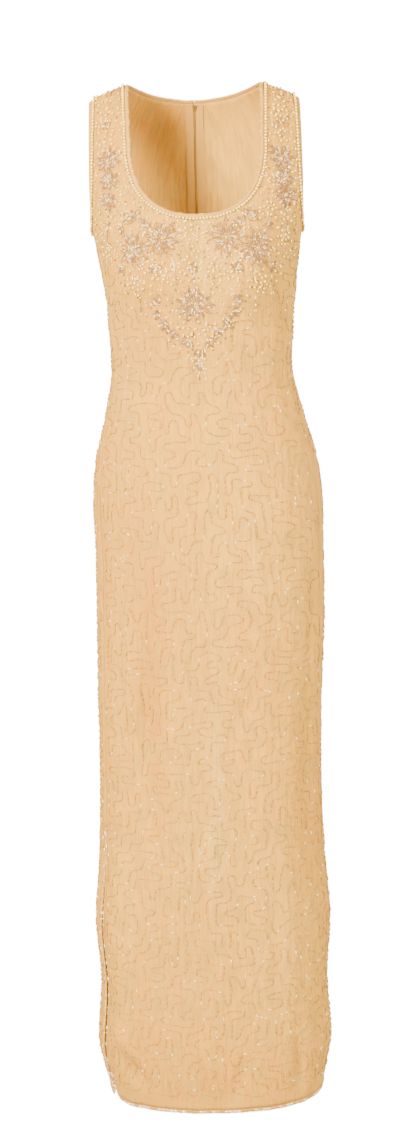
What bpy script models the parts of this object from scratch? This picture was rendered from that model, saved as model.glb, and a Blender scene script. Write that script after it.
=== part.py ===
"""Sleeveless column evening gown, floor length, in the hollow form that it has when it is worn.

Left and right are the wearer's. The front faces -Y, the wearer's left is +X and up is +Z. The origin
lies midway between the two shoulder seams, where the wearer carries the gown. Lengths are in metres.

The cloth lies on one form. A place on it is (angle, row): angle goes round from the centre front
towards +X, and row is a real row number in SECTIONS, from the shoulder line down to the hem. Front
and back meet at row 0, over the shoulder.
"""

import math

import bmesh
import bpy
import numpy as np
from mathutils import Matrix
from mathutils.geometry import delaunay_2d_cdt

# Cloth
WALL = 0.0016
SEAM_GAP = 0.0003
CELL_ACROSS = 0.0235

# How tall the cells of the cloth are from each length down the front.
CELL_COLUMNS = ("below", "height")
CELL_HEIGHTS = (
    (0.00, 0.016),
    (0.12, 0.030),
    (0.65, 0.070),
    (1.10, 0.036),
)

# Neck, shoulders and armholes
NECK_HALF = 0.0905
NECK_HALF_AT_SHOULDER = 0.093
NECK_STRAIGHT = 0.085
NECK_ROUND = 0.100
NECK_POWER = 2.4
BACK_NECK_DROP = 0.040
BACK_NECK_POWER = 2.2
ARMHOLE_HALF_AT_SHOULDER = 0.1475
ARMHOLE_HALF_AT_SIDE = 0.1505
ARMHOLE_STEPS = 18
SHOULDER_FADE = 0.22

# Hem and side slits
HEM_DROP = 1.470
SLIT_TOP = 1.060
SLIT_OPENING = 0.006
SLIT_FADE = 0.20
SLIT_STEP = 0.0008
HEM_CORNER = 0.012
HEM_END_TURN = 0.001

# Bound and rolled edges
BINDING_WIDTH = 0.005
BINDING_THICK = 0.0022

# Bust: two soft mounds that the cloth bridges
BUST_HALF = 0.070
BUST_DROP = 0.262
BUST_ACROSS = 0.052
BUST_ABOVE = 0.075
BUST_BELOW = 0.050
BUST_HEIGHT = 0.016

# Concealed zip in the centre back seam
ZIP_LENGTH = 0.540
ZIP_NEAR = 0.110
TAPE_TOP = 0.0064
TAPE_WIDTH = 0.011
TAPE_THICK = 0.0010
COIL_HALF = 0.0015
COIL_THICK = 0.0014
SLIDER_DOWN = 0.011
SLIDER_LENGTH = 0.008
SLIDER_WIDTH = 0.0052
SLIDER_PLATE = 0.0010
SLIDER_NECK_HALF = 0.0013
SLIDER_NECK_LENGTH = 0.0046
SLIT_FOR_NECK = 0.0018
CROWN_HALF = 0.0007
CROWN_THICK = 0.0008
PIN_RADIUS = 0.00055
PIN_CLEARANCE = 0.0003
PIN_HALF = 0.0021
PULL_ARM = 0.0052
PULL_LENGTH = 0.022
PULL_HALF = 0.0030
PULL_THICK = 0.0010
PULL_ARM_WIDTH = 0.0008
PULL_ARM_OVERLAP = 0.0006

# One ring of the form in each row: the drop below the shoulder line, the half width, y at the front,
# the sides and the back, how square the ring is (2 is an ellipse) and its shift towards +X.
SECTION_COLUMNS = ("drop", "half_width", "front", "side", "back", "power", "shift")
SECTIONS = (
    (0.0000, 0.1605, 0.000, 0.000, 0.000, 2.40, 0.0000),
    (0.0036, 0.1610, -0.020, 0.000, 0.020, 2.40, 0.0000),
    (0.0165, 0.1620, -0.040, 0.000, 0.042, 2.40, 0.0000),
    (0.0450, 0.1635, -0.058, 0.000, 0.064, 2.40, 0.0000),
    (0.0850, 0.1635, -0.075, 0.000, 0.083, 2.40, 0.0000),
    (0.1300, 0.1612, -0.089, 0.001, 0.096, 2.40, 0.0000),
    (0.1750, 0.1552, -0.101, 0.002, 0.102, 2.40, 0.0005),
    (0.2150, 0.1468, -0.110, 0.003, 0.102, 2.38, 0.0010),
    (0.2550, 0.1405, -0.113, 0.004, 0.099, 2.34, 0.0020),
    (0.3000, 0.1342, -0.109, 0.004, 0.091, 2.30, 0.0030),
    (0.3500, 0.1315, -0.101, 0.003, 0.080, 2.26, 0.0030),
    (0.4000, 0.1296, -0.094, 0.003, 0.073, 2.22, 0.0030),
    (0.4400, 0.1365, -0.094, 0.004, 0.075, 2.22, 0.0045),
    (0.4800, 0.1462, -0.100, 0.006, 0.084, 2.25, 0.0060),
    (0.5300, 0.1598, -0.107, 0.010, 0.098, 2.28, 0.0070),
    (0.5900, 0.1662, -0.112, 0.013, 0.112, 2.30, 0.0080),
    (0.6600, 0.1658, -0.114, 0.014, 0.117, 2.32, 0.0090),
    (0.7600, 0.1660, -0.114, 0.012, 0.113, 2.34, 0.0085),
    (0.8800, 0.1638, -0.116, 0.009, 0.110, 2.36, 0.0050),
    (1.0000, 0.1632, -0.118, 0.006, 0.110, 2.38, 0.0040),
    (1.1200, 0.1674, -0.121, 0.003, 0.113, 2.40, 0.0035),
    (1.2100, 0.1742, -0.124, 0.001, 0.116, 2.42, 0.0030),
    (1.3000, 0.1684, -0.127, 0.000, 0.118, 2.44, 0.0030),
    (1.3900, 0.1738, -0.129, 0.000, 0.119, 2.44, 0.0025),
    (1.4350, 0.1665, -0.128, 0.000, 0.119, 2.42, 0.0030),
    (1.4700, 0.1590, -0.126, 0.000, 0.117, 2.40, 0.0040),
)

# The shoulder seam from the middle outwards, and its rise over the neck points.
SHOULDER_COLUMNS = ("out", "rise")
SHOULDER_LINE = (
    (0.000, 0.0240),
    (0.030, 0.0205),
    (0.060, 0.0115),
    (0.093, 0.0000),
    (0.120, -0.0095),
    (0.135, -0.0155),
    (0.148, -0.0240),
    (0.165, -0.0400),
)

# How far the side seams swing forward of the widest line of the form, in degrees round it.
SEAM_COLUMNS = ("drop", "left", "right")
SIDE_SEAMS = (
    (0.190, 0.0, 0.0),
    (0.400, 2.0, 2.0),
    (0.460, 13.0, 13.0),
    (0.530, 21.0, 22.0),
    (0.620, 22.0, 24.0),
    (0.760, 22.0, 25.0),
    (0.900, 14.0, 25.0),
    (1.060, 4.0, 25.0),
    (1.250, -3.0, 26.0),
    (1.470, -5.0, 26.0),
)

# The largest folds. A fold runs from its top drop to its bottom drop, leans by so many degrees round
# the form on the way, and stands out of the cloth by its height, or into it where that is negative.
FOLD_COLUMNS = ("angle", "lean", "top", "bottom", "width", "height")
FOLDS = (
    (2.0, -1.0, 0.70, 1.52, 0.014, 0.0040),
    (-38.0, 6.0, 0.58, 1.10, 0.020, -0.0045),
    (34.0, -4.0, 0.86, 1.55, 0.024, 0.0050),
    (-20.0, -6.0, 0.95, 1.55, 0.022, -0.0045),
    (52.0, 5.0, 0.62, 1.30, 0.022, -0.0050),
    (-50.0, 3.0, 1.00, 1.56, 0.018, 0.0050),
    (70.0, -3.0, 0.22, 0.40, 0.012, 0.0035),
    (-72.0, 4.0, 0.24, 0.41, 0.012, 0.0030),
    (128.0, 3.0, 0.66, 1.55, 0.026, 0.0055),
    (152.0, -4.0, 0.78, 1.40, 0.022, -0.0050),
    (-124.0, -4.0, 0.70, 1.56, 0.026, 0.0050),
    (-150.0, 5.0, 0.62, 1.28, 0.022, -0.0050),
)
METRES_PER_DEGREE = 0.0026

DENSE_ROWS = np.linspace(0.0, len(SECTIONS) - 1.0, 2401)


def columns(table, names):
    """The columns of a table, by name, as arrays."""
    return dict(zip(names, np.array(table, dtype=float).T))


def smooth_curve(xs, ys, at, first_slope=None):
    """A cubic curve through the points (xs, ys), read at other places."""
    slopes = np.gradient(ys, xs)
    if first_slope is not None:
        slopes[0] = first_slope
    at = np.clip(at, xs[0], xs[-1])
    i = np.clip(np.searchsorted(xs, at, side="right") - 1, 0, len(xs) - 2)
    step = xs[i + 1] - xs[i]
    t = (at - xs[i]) / step
    start = (1 + 2 * t) * (1 - t) ** 2 * ys[i] + t * (1 - t) ** 2 * step * slopes[i]
    end = t * t * (3 - 2 * t) * ys[i + 1] + t * t * (t - 1) * step * slopes[i + 1]
    return start + end


def smoothstep(x):
    x = np.clip(x, 0.0, 1.0)
    return x * x * (3 - 2 * x)


SECTION = columns(SECTIONS, SECTION_COLUMNS)
SHOULDER = columns(SHOULDER_LINE, SHOULDER_COLUMNS)
SEAM = columns(SIDE_SEAMS, SEAM_COLUMNS)


def section(name, row):
    """One column of SECTIONS at real row numbers. Over the shoulder the profile is a round crest."""
    values = SECTION[name]
    slope = values[1] if name in ("front", "back") else 0.0
    return smooth_curve(np.arange(len(values), dtype=float), values, row, slope)


DENSE_DROPS = section("drop", DENSE_ROWS)


def row_at_drop(drop):
    return np.interp(drop, DENSE_DROPS, DENSE_ROWS)


def shoulder_rise(out, drop):
    """How far the slope of the shoulders lifts a point, which fades out down the body."""
    rise = smooth_curve(SHOULDER["out"], SHOULDER["rise"], np.abs(out))
    return rise * (1.0 - smoothstep(drop / SHOULDER_FADE))


def plain_form(angle, row):
    """The form with the bust and without folds."""
    power = section("power", row)
    sine, cosine = np.sin(angle), np.cos(angle)
    reach = (np.abs(sine) ** power + np.abs(cosine) ** power) ** (-1.0 / power)
    out = section("half_width", row) * sine * reach
    side = section("side", row)
    depth = np.where(cosine > 0, section("front", row), section("back", row)) - side
    drop = section("drop", row)
    z = shoulder_rise(out, drop) - drop
    y = side + depth * np.abs(cosine) * reach
    below = np.where(drop > BUST_DROP, BUST_BELOW, BUST_ABOVE)
    across = np.exp(-(((np.abs(out) - BUST_HALF) / BUST_ACROSS) ** 2))
    mound = across * np.exp(-(((drop - BUST_DROP) / below) ** 2))
    y = y - BUST_HEIGHT * mound * smoothstep(cosine * 2.0)
    return np.stack([out + section("shift", row), y, z], axis=-1)


def steps_round(points, angle, row):
    """The change of a surface with angle and with row, by small differences."""
    turn, shift = 1e-4, 1e-3
    last = len(SECTIONS) - 1.0
    low, high = np.maximum(row - shift, 0.0), np.minimum(row + shift, last)
    by_angle = (points(angle + turn, row) - points(angle - turn, row)) / (2 * turn)
    by_row = (points(angle, high) - points(angle, low)) / (high - low)[..., None]
    return by_angle, by_row


def unit(vectors):
    return vectors / np.linalg.norm(vectors, axis=-1, keepdims=True)


def normal_of(points, angle, row):
    """Outward normal: round the form towards +angle, crossed with up the form."""
    by_angle, by_row = steps_round(points, angle, row)
    return unit(np.cross(by_angle, -by_row))


def fold_height(angle, row):
    degrees, drop = np.degrees(angle), section("drop", row)
    total = np.zeros_like(drop)
    for values in FOLDS:
        fold = dict(zip(FOLD_COLUMNS, values))
        along = (drop - fold["top"]) / (fold["bottom"] - fold["top"])
        window = np.where((along > 0) & (along < 1), np.sin(np.pi * along) ** 2, 0.0)
        away = degrees - fold["angle"] - fold["lean"] * along
        away = (away + 180.0) % 360.0 - 180.0
        across = np.exp(-((away * METRES_PER_DEGREE / fold["width"]) ** 2))
        total = total + fold["height"] * window * across
    return total


def cloth(angle, row):
    """The outer face of the cloth: the form with its folds."""
    lift = fold_height(angle, row)[..., None]
    return plain_form(angle, row) + normal_of(plain_form, angle, row) * lift


def angle_at(out, row):
    """The angle, 0 to 90 degrees, at which the ring of a row is so far out from its middle."""
    power = section("power", row)
    share = np.clip(np.abs(out) / section("half_width", row), 0.0, 1.0)
    return np.arctan2(share, (1.0 - share**power) ** (1.0 / power))


def row_at_height(out, z):
    """The row at which the form, so far out from its middle, is at height z."""
    heights = shoulder_rise(out, DENSE_DROPS) - DENSE_DROPS
    return float(np.interp(-z, -heights, DENSE_ROWS))


def metres_per_radian(angle, row):
    return np.linalg.norm(steps_round(cloth, angle, row)[0], axis=-1)


def edge_frame(path, closed=False):
    """Points, outward normals and the direction to the left of travel, along a path on the cloth."""
    angle, row = path[:, 0], path[:, 1]
    points = cloth(angle, row)
    if closed:
        along = np.roll(points, -1, axis=0) - np.roll(points, 1, axis=0)
    else:
        along = np.gradient(points, axis=0)
    normals = normal_of(cloth, angle, row)
    return points, normals, unit(np.cross(normals, unit(along)))


def moved_left(path, distance):
    """The path moved over the cloth, to the left of its travel, and dropped back on to the cloth."""
    points, _, left = edge_frame(path)
    target, moved = points + distance * left, path.copy()
    for _ in range(4):
        angle, row = moved[:, 0], moved[:, 1]
        jacobian = np.stack(steps_round(cloth, angle, row), axis=-1)
        missing = target - cloth(angle, row)
        moved += [np.linalg.lstsq(j, m, rcond=None)[0] for j, m in zip(jacobian, missing)]
        moved[:, 1] = np.maximum(moved[:, 1], 0.0)
    return moved


# ---------------------------------------------------------------- edges of the cut pieces


def front_neck(side):
    """The front neckline from the shoulder seam down to the centre front."""
    places = []
    for share in np.linspace(0.0, 1.0, 5)[:-1]:
        half = NECK_HALF_AT_SHOULDER + share * (NECK_HALF - NECK_HALF_AT_SHOULDER)
        places.append((half, -share * NECK_STRAIGHT))
    for turn in np.linspace(0.0, math.pi / 2, 12):
        half = NECK_HALF * math.cos(turn) ** (2 / NECK_POWER)
        places.append((half, -NECK_STRAIGHT - NECK_ROUND * math.sin(turn) ** (2 / NECK_POWER)))
    rows = np.array([row_at_height(out, z) for out, z in places])
    rows[0] = 0.0
    angles = angle_at(np.array([out for out, _ in places]), rows)
    return np.column_stack([side * angles, rows])


def back_neck(side):
    """The back neckline from the shoulder seam to the centre back."""
    turns = np.linspace(0.0, 1.0, 10)
    out = NECK_HALF_AT_SHOULDER * np.cos(turns * math.pi / 2)
    drops = BACK_NECK_DROP * np.sin(turns * math.pi / 2) ** BACK_NECK_POWER
    rows = row_at_drop(drops)
    return np.column_stack([side * (math.pi - angle_at(out, rows)), rows])


def armhole(side):
    """The armhole from the front of the shoulder seam, under the arm, to the back of that seam."""
    rows = DENSE_ROWS[DENSE_DROPS < 0.23]
    underarm = rows[section("half_width", rows) > ARMHOLE_HALF_AT_SIDE].max()
    share = np.linspace(1.0, -1.0, 2 * ARMHOLE_STEPS + 1)
    row = underarm * (1.0 - share**2)
    half = ARMHOLE_HALF_AT_SHOULDER + (ARMHOLE_HALF_AT_SIDE - ARMHOLE_HALF_AT_SHOULDER) * row / underarm
    angle = angle_at(half, row)
    angle[share < 0] = math.pi - angle[share < 0]
    angle[ARMHOLE_STEPS] = math.pi / 2
    return np.column_stack([side * angle, row])


def seam_angle(side, drop):
    """The side seam, as an angle from the centre front."""
    forward = smooth_curve(SEAM["drop"], SEAM["left" if side > 0 else "right"], drop)
    return np.radians(90.0 - forward)


def slit_and_hem(side, towards, end_angle, stations):
    """The rolled edge from the top of a slit, round the corner and along the hem to end_angle.

    towards is -1 on the front, which lies towards smaller angles, and 1 on the back.
    """
    drops = np.linspace(SLIT_TOP + SLIT_STEP, HEM_DROP - HEM_CORNER, 15)
    rows = row_at_drop(drops)
    opening = SLIT_OPENING * smoothstep((drops - SLIT_TOP) / SLIT_FADE) + SEAM_GAP
    seam = seam_angle(side, drops)
    slit = seam + towards * opening / 2 / metres_per_radian(side * seam, rows)
    scale = metres_per_radian(side * slit[-1:], rows[-1:])[0]
    turns = np.linspace(0.0, math.pi / 2, 6)[1:]
    corner = slit[-1] + towards * HEM_CORNER * (1 - np.cos(turns)) / scale
    corner_rows = row_at_drop(HEM_DROP - HEM_CORNER * (1 - np.sin(turns)))
    hem = np.linspace(corner[-1], end_angle, stations)[1:]
    angles = np.concatenate([slit, corner, hem])
    rows = np.concatenate([rows, corner_rows, np.full(len(hem), row_at_drop(HEM_DROP))])
    return np.column_stack([side * angles, rows])


# ---------------------------------------------------------------- meshes


def material(name, colour, roughness, metallic=0.0):
    made = bpy.data.materials.new(name)
    made.use_nodes = True
    shader = made.node_tree.nodes["Principled BSDF"]
    shader.inputs["Base Color"].default_value = (*colour, 1.0)
    shader.inputs["Roughness"].default_value = roughness
    shader.inputs["Metallic"].default_value = metallic
    return made


def add_object(name, vertices, faces, finish):
    mesh = bpy.data.meshes.new(name)
    mesh.from_pydata([tuple(v) for v in vertices], [], [tuple(f) for f in faces])
    tidy = bmesh.new()
    tidy.from_mesh(mesh)
    bmesh.ops.recalc_face_normals(tidy, faces=tidy.faces)
    tidy.to_mesh(mesh)
    tidy.free()
    mesh.shade_smooth()
    mesh.set_sharp_from_angle(angle=math.radians(40))
    mesh.materials.append(material(name, *finish))
    made = bpy.data.objects.new(name, mesh)
    bpy.context.collection.objects.link(made)
    return made


def walled(outer, inner, triangles):
    """Vertices and faces of a closed wall between two copies of one triangulated sheet."""
    count = len(outer)
    uses = {}
    for triangle in triangles:
        for a, b in zip(triangle, (*triangle[1:], triangle[0])):
            uses[(a, b)] = True
    rim = [(a, b) for a, b in uses if (b, a) not in uses]
    faces = [tuple(t) for t in triangles]
    faces += [tuple(count + i for i in reversed(t)) for t in triangles]
    faces += [(b, a, a + count, b + count) for a, b in rim]
    return np.concatenate([outer, inner]), faces


def path_lengths():
    """Length down the centre front at each dense row, which spaces the cells evenly."""
    front = section("front", DENSE_ROWS)
    return np.concatenate([[0.0], np.cumsum(np.hypot(np.diff(front), np.diff(DENSE_DROPS)))])


DENSE_LENGTHS = path_lengths()


def flat_from_path(path):
    """A path laid out flat, in metres: round the form, and down it as negative y."""
    across = np.degrees(path[:, 0]) * METRES_PER_DEGREE
    return np.column_stack([across, -np.interp(path[:, 1], DENSE_ROWS, DENSE_LENGTHS)])


def path_from_flat(flat):
    angle = np.radians(flat[:, 0] / METRES_PER_DEGREE)
    return np.column_stack([angle, np.interp(-flat[:, 1], DENSE_LENGTHS, DENSE_ROWS)])


def cell_grid(low, high):
    """Flat points and, for each, the height of its cell."""
    points, heights = [], []
    y = high[1]
    while y > low[1]:
        height = [row[1] for row in CELL_HEIGHTS if -y >= row[0] or row[0] == 0.0][-1]
        y -= height
        for x in np.arange(low[0] + CELL_ACROSS / 2, high[0], CELL_ACROSS):
            points.append((x, y))
            heights.append(height)
    return np.array(points), np.array(heights)


def within(points, outline):
    """Which flat points the outline goes round."""
    x, y = points[:, 0], points[:, 1]
    found = np.zeros(len(points), dtype=bool)
    for a, b in zip(outline, np.roll(outline, -1, axis=0)):
        crosses = (a[1] > y) != (b[1] > y)
        rise = b[1] - a[1] if b[1] != a[1] else 1.0
        found ^= crosses & (x < (b[0] - a[0]) * (y - a[1]) / rise + a[0])
    return found


def cells_away(points, heights, line):
    """How far flat points lie from a line of flat points, in cells."""
    nearest = np.full(len(points), np.inf)
    stretch = np.column_stack([np.full(len(heights), 1.0 / CELL_ACROSS), 1.0 / heights])
    for a, b in zip(line, line[1:]):
        offset, run = (points - a) * stretch, (b - a) * stretch
        length = np.maximum((run * run).sum(axis=1), 1e-12)
        share = np.clip((offset * run).sum(axis=1) / length, 0.0, 1.0)
        nearest = np.minimum(nearest, np.linalg.norm(offset - share[:, None] * run, axis=1))
    return nearest


def panel(name, outline_path, finish, stitching=None):
    """A cut piece of cloth: its outline filled with cells, laid on the form and given its wall.

    stitching is a line on it that something is sewn along, which gets points of its own.
    """
    outline = flat_from_path(outline_path)
    grid, heights = cell_grid(outline.min(axis=0), outline.max(axis=0))
    closed = np.concatenate([outline, outline[:1]])
    chosen = within(grid, outline) & (cells_away(grid, heights, closed) > 0.4)
    parts = [outline]
    if stitching is not None:
        line = flat_from_path(stitching)
        chosen &= cells_away(grid, heights, line) > 0.4
        parts.append(line)
    points = np.concatenate(parts + [grid[chosen]])
    loop = [list(range(len(outline)))]
    found = delaunay_2d_cdt([tuple(p) for p in points], [], loop, 1, 1e-7)
    flat = np.array([tuple(p) for p in found[0]])
    path = path_from_flat(flat)
    outer = cloth(path[:, 0], path[:, 1])
    inner = outer - normal_of(cloth, path[:, 0], path[:, 1]) * WALL
    vertices, faces = walled(outer, inner, found[2])
    return add_object(name, vertices, faces, finish)


def band(name, path, width, thick, finish, closed=False):
    """A folded strip along an edge, on the left of the path, round the middle of the wall."""
    points, normals, left = edge_frame(path, closed)
    corners = ((0.0, 0.5), (1.0, 0.5), (1.0, -0.5), (0.0, -0.5))
    rings = [points + left * width * a + normals * (thick * b - WALL / 2) for a, b in corners]
    sides, count = len(rings), len(path)
    vertices = np.stack(rings, axis=1).reshape(-1, 3)
    faces = []
    for i in range(count if closed else count - 1):
        for k in range(sides):
            j, m = (i + 1) % count, (k + 1) % sides
            faces.append((i * sides + k, i * sides + m, j * sides + m, j * sides + k))
    if not closed:
        faces.append(tuple(range(sides)))
        faces.append(tuple((count - 1) * sides + k for k in reversed(range(sides))))
    return add_object(name, vertices, faces, finish)


def ribbon(name, first_edge, second_edge, depth, thick, finish):
    """A flat strip between two paths, its outer face at a depth under the face of the cloth."""
    path = np.concatenate([first_edge, second_edge[::-1]])
    count = len(first_edge)
    triangles = []
    for i in range(count - 1):
        j, k, m = i + 1, 2 * count - 2 - i, 2 * count - 1 - i
        triangles += [(i, j, k), (i, k, m)]
    points = cloth(path[:, 0], path[:, 1])
    normals = normal_of(cloth, path[:, 0], path[:, 1])
    vertices, faces = walled(points - normals * depth, points - normals * (depth + thick), triangles)
    return add_object(name, vertices, faces, finish)


# ---------------------------------------------------------------- the pieces

SILK = ((0.86, 0.66, 0.42), 0.62)
BINDING = ((0.90, 0.74, 0.52), 0.55)
TAPE = ((0.82, 0.66, 0.48), 0.70)
COIL = ((0.88, 0.80, 0.66), 0.40)
METAL = ((0.80, 0.66, 0.44), 0.30, 0.9)

EDGE_TO_PANEL = BINDING_WIDTH + SEAM_GAP
SHOULDER_ROW = float(np.interp(SEAM_GAP / 2, DENSE_LENGTHS, DENSE_ROWS))


def end_at_shoulder(path, ends):
    """The path with its named ends set at the shoulder seam, half a seam gap from row 0."""
    path = path.copy()
    for end in ends:
        path[end, 1] = SHOULDER_ROW
    return path


def shoulder_seam(start, end):
    """The points of a shoulder seam between two ends, which are left out."""
    angles = np.linspace(start[0], end[0], 5)[1:-1]
    return np.column_stack([angles, np.full(len(angles), SHOULDER_ROW)])


def side_seam(side, towards, top_row):
    """The side seam of one panel, from under the arm down to the top of the slit."""
    drops = np.linspace(float(section("drop", top_row)), SLIT_TOP, 30)
    rows = row_at_drop(drops)
    seam = seam_angle(side, drops)
    angles = seam + towards * SEAM_GAP / 2 / metres_per_radian(side * seam, rows)
    return np.column_stack([side * angles, rows])


def panel_side(side, towards):
    """The armhole of one panel from its shoulder, its side seam and the top of its slit."""
    loop = armhole(side)
    loop = moved_left(loop, -side * EDGE_TO_PANEL)
    middle = len(loop) // 2
    curve = loop[:middle] if towards < 0 else loop[:middle:-1]
    curve = end_at_shoulder(curve, [0])
    return np.concatenate([curve, side_seam(side, towards, loop[middle, 1])])


def make_front():
    neck_left, neck_right = front_neck(1), front_neck(-1)
    neck = np.concatenate([neck_right, neck_left[-2::-1]])
    neck = end_at_shoulder(moved_left(neck, -EDGE_TO_PANEL), [0, -1])
    left, right = panel_side(1, -1), panel_side(-1, -1)
    edge_left = slit_and_hem(1, -1, 0.0, 12)
    edge_right = slit_and_hem(-1, -1, 0.0, 12)
    edge = np.concatenate([edge_left, edge_right[-2::-1]])
    hem = moved_left(edge, -EDGE_TO_PANEL)
    hem[[0, -1], 1] = row_at_drop(SLIT_TOP)
    outline = np.concatenate(
        [
            neck,
            shoulder_seam(neck[-1], left[0]),
            left,
            hem,
            right[::-1],
            shoulder_seam(right[0], neck[0]),
        ]
    )
    panel("front_panel", outline, SILK)
    band("hem_front", edge[::-1], BINDING_WIDTH, BINDING_THICK, BINDING)


def back_lengths():
    """Length down the centre back at each dense row."""
    back, z = section("back", DENSE_ROWS), shoulder_rise(0.0, DENSE_DROPS) - DENSE_DROPS
    return np.concatenate([[0.0], np.cumsum(np.hypot(np.diff(back), np.diff(z)))])


def rows_down_back(lengths):
    """Rows on the centre back at lengths below the finished neck edge."""
    measured = back_lengths()
    top = np.interp(back_neck(1)[-1, 1], DENSE_ROWS, measured)
    return np.interp(top + np.asarray(lengths), measured, DENSE_ROWS)


def zip_rows():
    """Rows that the centre back edges and the zip share: tape top, notch, coil top, then down."""
    notch_half = SLIDER_NECK_LENGTH / 2 + 2 * SEAM_GAP
    coil_top = SLIDER_DOWN + SLIDER_LENGTH / 2 + SEAM_GAP
    first = (TAPE_TOP, SLIDER_DOWN - notch_half, SLIDER_DOWN + notch_half, coil_top)
    near = np.linspace(coil_top, ZIP_NEAR, 9)[1:]
    far = np.linspace(ZIP_NEAR, TAPE_TOP + ZIP_LENGTH, 16)[1:]
    return rows_down_back(np.concatenate([first, near, far]))


def beside_centre_back(side, out, rows):
    """A path down the back at a distance from its middle."""
    angles = side * (math.pi - angle_at(np.full(len(rows), out), rows))
    return np.column_stack([angles, rows])


def centre_back(side, first_row, last_row):
    """The centre back edge of one half, with its notch for the neck of the zip slider."""
    shared = zip_rows()
    below = row_at_drop(np.linspace(section("drop", shared[-1]), section("drop", last_row), 20)[1:])
    rows = np.concatenate([[first_row], shared[:2], shared[1:3], shared[2:], below])
    out = np.full(len(rows), SEAM_GAP / 2)
    out[3:5] = SLIT_FOR_NECK
    return np.column_stack([side * (math.pi - angle_at(out, rows)), rows])


def make_back(side, name):
    neck = back_neck(side)
    inner_neck = end_at_shoulder(moved_left(neck, -side * EDGE_TO_PANEL), [0])
    curve = panel_side(side, 1)
    edge = slit_and_hem(side, 1, math.pi - HEM_END_TURN, 14)
    hem = moved_left(edge, side * EDGE_TO_PANEL)
    hem[0, 1] = row_at_drop(SLIT_TOP)
    centre = centre_back(side, inner_neck[-1, 1], hem[-1, 1])
    outline = np.concatenate(
        [
            inner_neck[:-1],
            centre,
            hem[-2::-1],
            curve[::-1],
            shoulder_seam(curve[0], inner_neck[0]),
        ]
    )
    stitching = beside_centre_back(side, SLIT_FOR_NECK + TAPE_WIDTH, zip_rows())
    panel("back_panel_" + name, outline, SILK, stitching)
    travel = edge if side > 0 else edge[::-1]
    band("hem_back_" + name, travel, BINDING_WIDTH, BINDING_THICK, BINDING)


def make_neck_binding():
    """One strip from the centre back over the left shoulder, round the front and back again."""
    left, right = back_neck(1), back_neck(-1)
    for edge, side in ((left, 1), (right, -1)):
        row = edge[-1:, 1]
        edge[-1, 0] = side * (math.pi - angle_at(np.array([SEAM_GAP]), row)[0])
    front = np.concatenate([front_neck(1), front_neck(-1)[-2::-1]])
    path = np.concatenate([left[:0:-1], front, right[1:]])
    band("neck_binding", path, BINDING_WIDTH, BINDING_THICK, BINDING)


def make_armhole_binding(side, name):
    loop = armhole(side)[:-1]
    travel = loop[::-1] if side > 0 else loop
    band("armhole_binding_" + name, travel, BINDING_WIDTH, BINDING_THICK, BINDING, closed=True)


def make_zip_tapes_and_coil():
    """The tapes and the closed coil inside the centre back seam."""
    depth, rows = WALL + SEAM_GAP, zip_rows()
    for side, name in ((1, "left"), (-1, "right")):
        near = beside_centre_back(side, SLIT_FOR_NECK, rows)
        far = beside_centre_back(side, SLIT_FOR_NECK + TAPE_WIDTH, rows)
        ribbon("zip_tape_" + name, near, far, depth, TAPE_THICK, TAPE)
    coil_rows = rows[3:]
    right = beside_centre_back(-1, COIL_HALF, coil_rows)
    left = beside_centre_back(1, COIL_HALF, coil_rows)
    ribbon("zip_coil", right, left, depth, COIL_THICK, COIL)


def slider_frame():
    """Placement on the centre back: x across, y out of the cloth and z up the seam."""
    angle, row = np.array([math.pi]), rows_down_back([SLIDER_DOWN])
    point = cloth(angle, row)[0]
    outward = normal_of(cloth, angle, row)[0]
    tilt = math.atan2(-outward[2], outward[1])
    return Matrix.Translation(point) @ Matrix.Rotation(-tilt, 4, "X")


def box(half, centre):
    made = bmesh.new()
    bmesh.ops.create_cube(made, size=1.0)
    bmesh.ops.scale(made, vec=[2 * h for h in half], verts=made.verts)
    bmesh.ops.translate(made, vec=centre, verts=made.verts)
    return made


def prism(outline, low, high):
    """A closed outline of (y, z) points, extruded along x from low to high."""
    made = bmesh.new()
    face = made.faces.new([made.verts.new((low, y, z)) for y, z in outline])
    grown = bmesh.ops.extrude_face_region(made, geom=[face])["geom"]
    moved = [v for v in grown if isinstance(v, bmesh.types.BMVert)]
    bmesh.ops.translate(made, vec=(high - low, 0, 0), verts=moved)
    return made


def arc(centre, radius, start, end, steps):
    """Points on an arc of the (y, z) plane, angles in degrees from +y towards +z."""
    turns = [math.radians(start + (end - start) * i / steps) for i in range(steps + 1)]
    return [(centre[0] + radius * math.cos(t), centre[1] + radius * math.sin(t)) for t in turns]


OUTER_PLATE_IN = SEAM_GAP
OUTER_PLATE_OUT = OUTER_PLATE_IN + SLIDER_PLATE
PIN_OUT = OUTER_PLATE_OUT + PIN_CLEARANCE + PIN_RADIUS
CROWN_IN = PIN_RADIUS + PIN_CLEARANCE


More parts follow.
